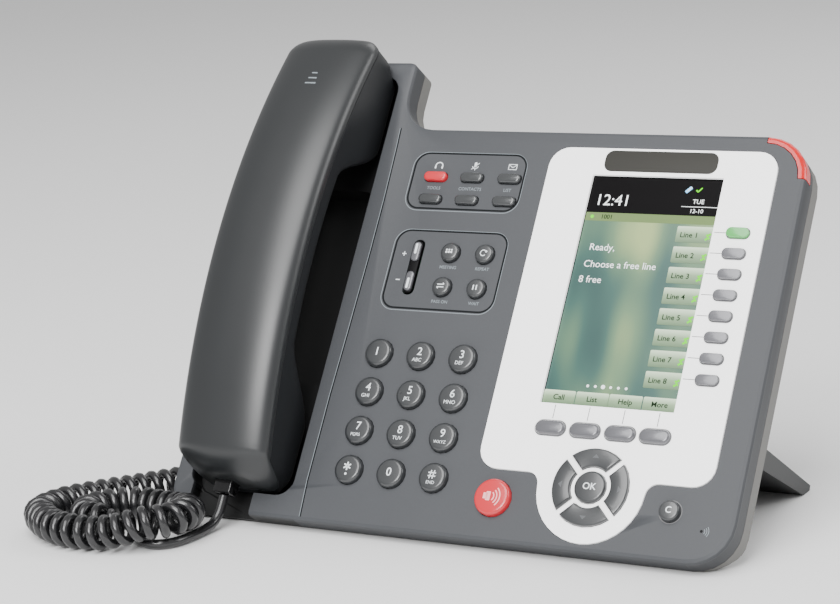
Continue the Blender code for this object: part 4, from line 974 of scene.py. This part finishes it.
def drawSign(mesh, sign, centre, base, size=1.0, index=1):
    for kind, x, y, *shape in signs[sign]:
        spot = (centre[0] + x * size, centre[1] + y * size)
        if kind == "disc":
            inkDisc(mesh, spot, shape[0] * size, base, index)
        elif kind == "bar":
            wide, tall, corner, turn = shape
            inkBar(mesh, spot, (wide * size, tall * size), corner, math.radians(turn), base, index)
        elif kind == "arc":
            inkArc(mesh, spot, shape[0] * size, shape[1] * size, shape[2], shape[3], base, index)
        else:
            wide, tall, corner, line = shape
            inkRing(mesh, spot, (wide * size, tall * size), corner, line, base, index)


def makeKey(name, node, corner, rim, materials, segments=5, sign=None, words=None):
    # one key that stands for its CAD node and rides on that node's own body
    mesh = bmesh.new()
    centre, top = keyCap(mesh, node, corner, rim, segments)
    if sign:
        drawSign(mesh, sign[0], centre, top - keySeat["markSunk"], sign[1])
    if words:
        inkText(mesh, words[0], centre, words[1], top - keySeat["markSunk"], 1, bold=0.05)
    addPiece(name, mesh, node + "_body", materials, replaced=(node,))


dial = {
    "legends": {"1": "", "2": "ABC", "3": "DEF", "4": "GHI", "5": "JKL", "6": "MNO", "7": "PQRS", "8": "TUV",
                "9": "WXYZ", "star": "", "0": "", "hash": "END"},
    "rim": 1.5, "digit": 4.6, "letters": 2.1, "longLetters": 1.75, "digitShift": (0.3, 1.1),
    "letterShift": (-0.2, -2.3), "endShift": -2.4, "endSize": 1.8, "bold": 0.02, "loneBold": 0.04,
    "pipAside": 3.6, "pip": 0.4}


def makeDialKeys():
    for key, letters in dial["legends"].items():
        mesh = bmesh.new()
        (x, y), top = keyCap(mesh, "key_" + key, None, dial["rim"], segments=6)
        base = top - keySeat["markSunk"]
        if key in signs:
            drawSign(mesh, key, (x, y), base)
            if letters:
                inkText(mesh, letters, (x, y + dial["endShift"]), dial["endSize"], base, 1)
        elif letters:
            across, up = dial["digitShift"]
            inkText(mesh, key, (x + across, y + up), dial["digit"], base, 1, bold=dial["bold"])
            across, up = dial["letterShift"]
            tall = dial["letters"] if len(letters) < 4 else dial["longLetters"]
            inkText(mesh, letters, (x + across, y + up), tall, base, 1)
        else:
            inkText(mesh, key, (x, y), dial["digit"], base, 1, bold=dial["loneBold"])
        if key == "5":
            inkDisc(mesh, (x - dial["pipAside"], y), dial["pip"], top - 0.1, height=0.35)
        addPiece("dialKey_" + key, mesh, "key_" + key + "_body", ["keyDark", "print"],
                 replaced=("key_" + key,))


callSigns = {"conference": "people", "redial": "again", "transfer": "pass", "hold": "hold"}


def makeRoundKeys():
    dark = ["keyDark", "print"]
    for key, sign in callSigns.items():
        makeKey("callKey_" + key, "key_" + key, None, 1.2, dark, sign=(sign, 0.9))
    makeKey("speakerKey", "key_speaker", None, 1.5, ["keyRed", "redPrint"], 6,
            sign=("speaker", 1.35))
    makeKey("cancelKey", "key_cancel", None, 1.1, dark, words=("C", 3.4))
    makeKey("okKey", "key_ok", None, 1.1, dark, words=("OK", 3.6))


def makeBarKeys():
    for key in ("headset", "mute", "message", "service", "directory", "menu"):
        material, slotName = ("keyRed", "key_red") if key == "headset" else ("keyBar", "key_silver")
        makeKey("barKey_" + key, "key_" + key, 1.9, 0.9, [material])
    for index in range(1, 9):
        material, slotName = ("keyGreen", "key_green") if index == 1 else ("keySilver", "key_silver")
        makeKey(f"lineKey_{index}", f"line_key_{index}", 1.95, 0.9, [material])
    for index in range(1, 5):
        makeKey(f"softKey_{index}", f"soft_key_{index}", 2.75, 1.2, ["keySilver"])


navShape = {"centre": (60.5, 24.3), "inner": 8.0, "outer": 15.0, "arm": 2.2, "top": 1.6, "rim": 0.7,
            "sweep": 46, "cut": math.radians(45), "arrow": 1.35, "arrowShape": (0.7, 1.1, 1),
            "arrowReach": 11.6, "arrowHeight": 0.05}


def makeNavKeys():
    # quarters of a ring, cut back to straight sides that leave the arms of a cross between them
    for name, turn in (("right", 0), ("up", 90), ("left", 180), ("down", 270)):
        mesh = bmesh.new()
        inkArc(mesh, (0, 0), (navShape["inner"] + navShape["outer"]) / 2,
               navShape["outer"] - navShape["inner"], -navShape["sweep"], navShape["sweep"],
               base=keySeat["base"], height=navShape["top"] - keySeat["base"], steps=24)
        for side in (-1, 1):
            normal = Vector((-math.sin(navShape["cut"]), side * math.cos(navShape["cut"]), 0))
            bmesh.ops.bisect_plane(mesh, geom=mesh.verts[:] + mesh.edges[:] + mesh.faces[:], dist=tiny,
                                   plane_co=normal * (-navShape["arm"] / 2), plane_no=normal,
                                   clear_outer=True)
            bmesh.ops.contextual_create(mesh, geom=[edge for edge in mesh.edges if edge.is_boundary])
        flat = [edge for edge in mesh.edges
                if all(abs(vert.co.z - navShape["top"]) < 1e-3 for vert in edge.verts)
                and any(abs(part.normal.z) < 0.5 for part in edge.link_faces)]
        bmesh.ops.bevel(mesh, geom=flat, offset=navShape["rim"], segments=3, affect="EDGES", profile=0.5,
                        material=-1)
        arrow = flatDisc((0, 0), navShape["arrow"], 3)
        bmesh.ops.rotate(arrow, verts=arrow.verts, matrix=Matrix.Rotation(math.radians(-90), 3, "Z"))
        bmesh.ops.scale(arrow, verts=arrow.verts, vec=navShape["arrowShape"])
        place = (navShape["arrowReach"], 0, navShape["top"] - keySeat["markSunk"])
        bmesh.ops.translate(arrow, verts=arrow.verts, vec=place)
        joinInto(mesh, raisePlate(arrow, navShape["arrowHeight"]), 1)
        bmesh.ops.rotate(mesh, verts=mesh.verts, matrix=Matrix.Rotation(math.radians(turn), 3, "Z"))
        bmesh.ops.translate(mesh, verts=mesh.verts, vec=(*navShape["centre"], 0))
        addPiece("navKey_" + name, mesh, "nav_" + name + "_body", ["keyDark", "arrow"],
                 replaced=("nav_" + name,))


rocker = {"centre": (-35.2, 107.4), "strip": (3.6, 22.1), "pad": (3.3, 8.2), "padShift": 6.3,
          "bar": (1.0, 4.4), "barShift": 7.4}


def makeRocker():
    # two raised pads on a dark strip, with a pale bar on each
    mesh = bmesh.new()
    x, y = rocker["centre"]
    joinInto(mesh, raisePlate(flatBar((x, y), rocker["strip"], 1.7, base=-1.0), 1.5, 0.3))
    for side in (-1, 1):
        pad = flatBar((x, y + side * rocker["padShift"]), rocker["pad"], 1.5, base=0.3)
        joinInto(mesh, raisePlate(pad, 1.25, 0.5, 3), 1)
        inkBar(mesh, (x - 0.1, y + side * rocker["barShift"]), rocker["bar"], 0.4, base=1.53, index=2)
    addPiece("volumeRocker", mesh, "rocker", ["black", "keySilver", "print"],
             replaced=("volume_rocker",))


makeDialKeys()
makeRoundKeys()
makeBarKeys()
makeNavKeys()
makeRocker()
print("keys made")


# printed lines and grooves on the face

def faceMesh(name, mesh, materials):
    return addPiece(name, mesh, "console", materials)


layout = {
    "upperGroup": ((-46.5, 132.6), (3.5, 157.6), 6.0), "callGroup": ((-46.0, 89.6), (3.5, 123.6), 6.0),
    "groove": 0.75, "light": 0.28, "keyColumns": (-35.4, -19.2, -2.7),
    "badge": ((36.2, 151.4), (82.8, 160.3)), "mic": (106.0, 12.4), "partingWidth": 0.55, "partingLight": 0.25,
    "parting": ((-56.6, 1.6), (-57.4, 16), (-57.4, 34), (-57.4, 52), (-56.8, 80), (-56.3, 114),
                (-56.3, 136), (-56.6, 150), (-56.8, 159), (-57.2, 168)),
    "lineRows": [127.6 - 8.39 * index for index in range(8)], "lineKeyX": 96.5, "lineLeaderX": 89.3,
    "softColumns": (39.2, 53.2, 67.3, 81.1), "softKeyY": 45.8, "softLeaderY": 52.4, "cancel": (93.0, 18.3),
    "sunk": 0.03}


def spanOf(corners):
    low, high = corners[:2]
    return ((low[0] + high[0]) / 2, (low[1] + high[1]) / 2), (high[0] - low[0], high[1] - low[1])


def makeGrooves():
    # painted shade in a dark groove round each key group, with a thin painted highlight along its outer edge
    mesh = bmesh.new()
    for group in ("upperGroup", "callGroup"):
        (x, y), (wide, tall) = spanOf(layout[group])
        corner = layout[group][2]
        inkRing(mesh, (x, y), (wide, tall), corner, layout["groove"], base=-layout["sunk"], height=0.06)
        inkRing(mesh, (x - 0.25, y - 0.25), (wide + 0.9, tall + 0.9), corner + 0.4, layout["light"],
                base=-layout["sunk"], height=0.05, index=1)
    faceMesh("groupGrooves", mesh, ["groove", "dimPrintAndEdgeLight"])
    # the dark line where the cradle's part meets the key field, with a painted highlight along one side
    line = bmesh.new()
    for (x, y), (nextX, nextY) in zip(layout["parting"], layout["parting"][1:]):
        turn = math.atan2(nextY - y, nextX - x)
        long = math.hypot(nextX - x, nextY - y) + 0.1
        middle = ((x + nextX) / 2, (y + nextY) / 2)
        litEdge = (middle[0] - 0.45, middle[1])
        inkBar(line, middle, (long, layout["partingWidth"]), 0, turn, -layout["sunk"])
        inkBar(line, litEdge, (long, layout["partingLight"]), 0, turn, -layout["sunk"], 1)
    faceMesh("partingLine", line, ["groove", "dimPrintAndEdgeLight"])


captions = {
    "signs": (("headset", 0, 151.6), ("microphone", 1, 152.2), ("envelope", 2, 152.1)),
    "upper": ("TOOLS", "CONTACTS", "LIST"), "upperY": 141.9, "upperSize": 1.9,
    "call": (("MEETING", (-20.2, 108.0)), ("REPEAT", (-5.2, 108.0)), ("PASS ON", (-20.2, 93.4)),
             ("WAIT", (-5.2, 93.4))), "callSize": 1.8, "bold": 0.02,
    "volume": (("plus", (-40.9, 113.0)), ("minus", (-40.9, 101.8))),
    "micHole": 0.55, "micArc": 1.3, "micStep": 0.75, "micLine": 0.25, "micSweep": 40}


def makeCaptions():
    mesh = bmesh.new()
    columns = layout["keyColumns"]
    for sign, column, y in captions["signs"]:
        drawSign(mesh, sign, (columns[column], y), 0.0, index=0)
    for x, words in zip(columns, captions["upper"]):
        inkText(mesh, words, (x, captions["upperY"]), captions["upperSize"], 0, 1, bold=captions["bold"])
    for words, spot in captions["call"]:
        inkText(mesh, words, spot, captions["callSize"], 0, 1, bold=captions["bold"])
    for sign, spot in captions["volume"]:
        drawSign(mesh, sign, spot, 0.0, index=0)
    faceMesh("captions", mesh, ["print", "dimPrintAndEdgeLight"])
    # microphone hole as a dark disc of painted shade, and its three arcs
    mic = bmesh.new()
    inkDisc(mic, layout["mic"], captions["micHole"], -0.02)
    for ring in range(3):
        inkArc(mic, layout["mic"], captions["micArc"] + ring * captions["micStep"], captions["micLine"],
               -captions["micSweep"], captions["micSweep"], -0.02, 1)
    faceMesh("micMark", mic, ["black", "dimPrintAndEdgeLight"])


def makeBezelMarks():
    top = faceBox("bezel_plate")[1][2]
    base = top - layout["sunk"]
    mesh = bmesh.new()
    centre, size = spanOf(layout["badge"])
    joinInto(mesh, raisePlate(flatBar(centre, size, 3.4, segments=8, base=top - 0.05), 0.35, 0.25))
    faceMesh("badgePlate", mesh, ["badge"])
    lines = bmesh.new()
    for y in layout["lineRows"]:
        inkBar(lines, (layout["lineLeaderX"], y), (4.6, 0.3), base=base)
    for x in layout["softColumns"]:
        inkBar(lines, (x, layout["softLeaderY"]), (0.3, 5.4), base=base)
    faceMesh("leaderLines", lines, ["leaderAndWellShade"])
    # painted shade round the keys: thin dark rings where each key sits down in its well
    wellShade = bmesh.new()
    for y in layout["lineRows"]:
        inkRing(wellShade, (layout["lineKeyX"], y), (9.7, 4.8), 2.3, 0.35, base=base)
    for x in layout["softColumns"]:
        inkRing(wellShade, (x, layout["softKeyY"]), (12.9, 6.5), 3.2, 0.35, base=base)
    inkRing(wellShade, layout["cancel"], (8.9, 8.9), 4.4, 0.35, base=-0.02, segments=16)
    faceMesh("keyWellShade", wellShade, ["leaderAndWellShade"])


# texts: words, centre, size, ink, boldness; bars: centre, size, corner, turn, how far raised, ink
screen = {
    "low": (32.5, 55.6), "high": (86.4, 149.9), "edge": 0.25, "bandLow": 134.6, "oliveLow": 131.1,
    "texts": (("12:41", (42.6, 139.7), 6.6, 0, 0.0), ("TUE", (77.6, 140.4), 2.6, 0, 0.0),
              ("12-10", (77.5, 136.5), 2.4, 0, 0.0), ("1001", (41.6, 132.8), 2.5, 3, 0.03),
              ("Ready,", (42.6, 120.0), 4.0, 0, 0.0), ("Choose a free line", (51.4, 113.0), 4.0, 0, 0.0),
              ("8 free", (40.6, 106.6), 4.0, 0, 0.0)),
    "bars": (((78.6, 138.3), (15.0, 0.2), 0.0, 0, 0.0, 0), ((72.7, 145.3), (3.0, 1.3), 0.3, 45, 0.0, 2),
             ((73.1, 145.7), (2.0, 0.35), 0.1, 45, 0.05, 0), ((76.2, 144.9), (1.2, 0.55), 0.1, -45, 0.0, 1),
             ((77.3, 145.4), (2.2, 0.55), 0.1, 50, 0.0, 1)),
    "statusDot": (35.5, 132.8), "dots": (49.6, 63.9), "dotStep": 3.1, "dotCount": 6, "dotChosen": 2,
    "labelRow": 8.39, "labels": (71.5, 86.2, 123.6, 130.2), "labelText": (5.2, 3.0), "textSize": 3.0,
    "signX": 84.3, "signUp": 2.6, "softWords": ("Call", "List", "Help", "More"), "softTextY": 58.6,
    "softColumns": ((32.6, 45.5), (45.9, 59.0), (59.3, 72.5), (72.9, 86.2)), "softRow": (55.8, 61.4)}


def screenPlate(name, corners, material, lift, corner=0.0, height=0.05):
    # a flat part of the picture with its own UV map, 0 to 1 across its box
    centre, (wide, tall) = spanOf(corners)
    left, bottom = corners[0]
    mesh = bmesh.new()
    inkBar(mesh, centre, (wide, tall), corner, base=lift, height=height)
    uv = mesh.loops.layers.uv.new("picture")
    for part in mesh.faces:
        for loop in part.loops:
            loop[uv].uv = ((loop.vert.co.x - left) / wide, (loop.vert.co.y - bottom) / tall)
    return faceMesh(name, mesh, [material])


def makeScreen():
    top = faceBox("lcd_module")[1][2]
    edge, band = screen["edge"], screen["bandLow"]
    left, right = screen["low"][0] + edge, screen["high"][0] - edge
    screenPlate("screenPicture", ((left, screen["low"][1] + edge), (right, band)), "wallpaper", top)
    screenPlate("screenBand", ((left, band), (right, screen["high"][1] - edge)), "screenBlack", top)
    screenPlate("screenStatus", ((left, screen["oliveLow"]), (right, band)), "screenOlive", top + 0.04)
    marks = bmesh.new()
    lift = top + 0.07
    for words, centre, size, ink, bold in screen["texts"]:
        inkText(marks, words, centre, size, lift, ink, bold=bold)
    for centre, size, corner, turn, raised, ink in screen["bars"]:
        inkBar(marks, centre, size, corner, math.radians(turn), lift + raised, ink)
    inkDisc(marks, screen["statusDot"], 0.75, lift, 1)
    for index in range(screen["dotCount"]):
        spot = (screen["dots"][0] + index * screen["dotStep"], screen["dots"][1])
        inkDisc(marks, spot, 0.85 if index == screen["dotChosen"] else 0.55, lift, 0)
    faceMesh("screenMarks", marks, ["screenWhite", "screenGreen", "screenBlue", "screenDark"])
    x0, x1, y0, y1 = screen["labels"]
    words = bmesh.new()
    for index in range(8):
        low, high = y0 - index * screen["labelRow"], y1 - index * screen["labelRow"]
        screenPlate(f"lineLabel_{index + 1}", ((x0, low), (x1, high)), "label", top + 0.05, 0.5, 0.08)
        spot = (x0 + screen["labelText"][0], low + screen["labelText"][1])
        inkText(words, f"Line {index + 1}", spot, screen["textSize"], lift + 0.07, bold=0.03)
        # a small green handset sign
        spot = Vector((screen["signX"], low + screen["signUp"]))
        lean = math.radians(35)
        inkBar(words, spot, (0.7, 2.4), 0.3, lean, lift + 0.07, 1)
        for side in (-1, 1):
            inkBar(words, spot + side * Vector((0.5, 0.95)), (1.2, 0.8), 0.2, lean, lift + 0.07, 1)
    low, high = screen["softRow"]
    for index, (a, b) in enumerate(screen["softColumns"]):
        screenPlate(f"softLabel_{index + 1}", ((a, low), (b, high)), "label", top + 0.05, 0.6, 0.08)
        inkText(words, screen["softWords"][index], ((a + b) / 2, screen["softTextY"]), screen["textSize"],
                lift + 0.07, bold=0.03)
    faceMesh("screenWords", words, ["screenDark", "screenGreen"])


rear = {
    "vent": (2.2, 26), "ventStart": (30, 118), "ventStep": 6.0, "ventCount": 9,
    "screws": ((-92, 64), (92, 64), (-92, 142), (92, 142)), "screwHead": 2.9, "screwWell": (8.0, 8.0),
    "slot": (3.6, 0.7), "plate": ((-40, 108), (46, 26)), "lineStart": (-58, 116), "lineStep": 5,
    "lines": (30, 24, 34, 18)}


def makeRearParts():
    # vents as dark bars of painted shade, screws in wells ringed with painted shade, and a plate of plain
    # bars where a rating label would be
    back = faceBox("bottom_shell")[0][2]
    vents = bmesh.new()
    for row in range(rear["ventCount"]):
        spot = (rear["ventStart"][0] + row * rear["ventStep"], rear["ventStart"][1])
        inkBar(vents, spot, rear["vent"], 1.0, base=back - 0.04, height=0.08)
    faceMesh("rearVents", vents, ["black"])
    screws = bmesh.new()
    for spot in rear["screws"]:
        inkRing(screws, spot, rear["screwWell"], 3.99, 0.7, base=back - 0.04, height=0.1, segments=16)
        joinInto(screws, raisePlate(flatDisc(spot, rear["screwHead"], 32, back - 0.3), 0.35, 0.1), 1)
        for turn in (45, 135):
            inkBar(screws, spot, rear["slot"], 0.1, math.radians(turn), back - 0.33, 0, 0.1)
    faceMesh("rearScrews", screws, ["black", "metal"])
    label = bmesh.new()
    inkBar(label, *rear["plate"], 1.5, base=back - 0.06, height=0.08)
    for row, wide in enumerate(rear["lines"]):
        spot = (rear["lineStart"][0] + wide / 2, rear["lineStart"][1] - row * rear["lineStep"])
        inkBar(label, spot, (wide, 1.0), 0.3, base=back - 0.08, height=0.05, index=1)
    faceMesh("ratingPlate", label, ["badge", "dimPrintAndEdgeLight"])


makeGrooves()
makeCaptions()
makeBezelMarks()
makeScreen()
makeRearParts()
print("face printed")


# floor

floorMesh = bmesh.new()
bmesh.ops.create_grid(floorMesh, x_segments=1, y_segments=1, size=studio["floorSize"] / 2)
floorData = bpy.data.meshes.new("floor")
floorMesh.to_mesh(floorData)
floorMesh.free()
floorData.materials.append(finish["floor"])
floor = bpy.data.objects.new("floor", floorData)
bpy.context.scene.collection.objects.link(floor)
floorData.transform(Matrix.Translation((0, 0, cadBox[0][2] - 0.0002)))
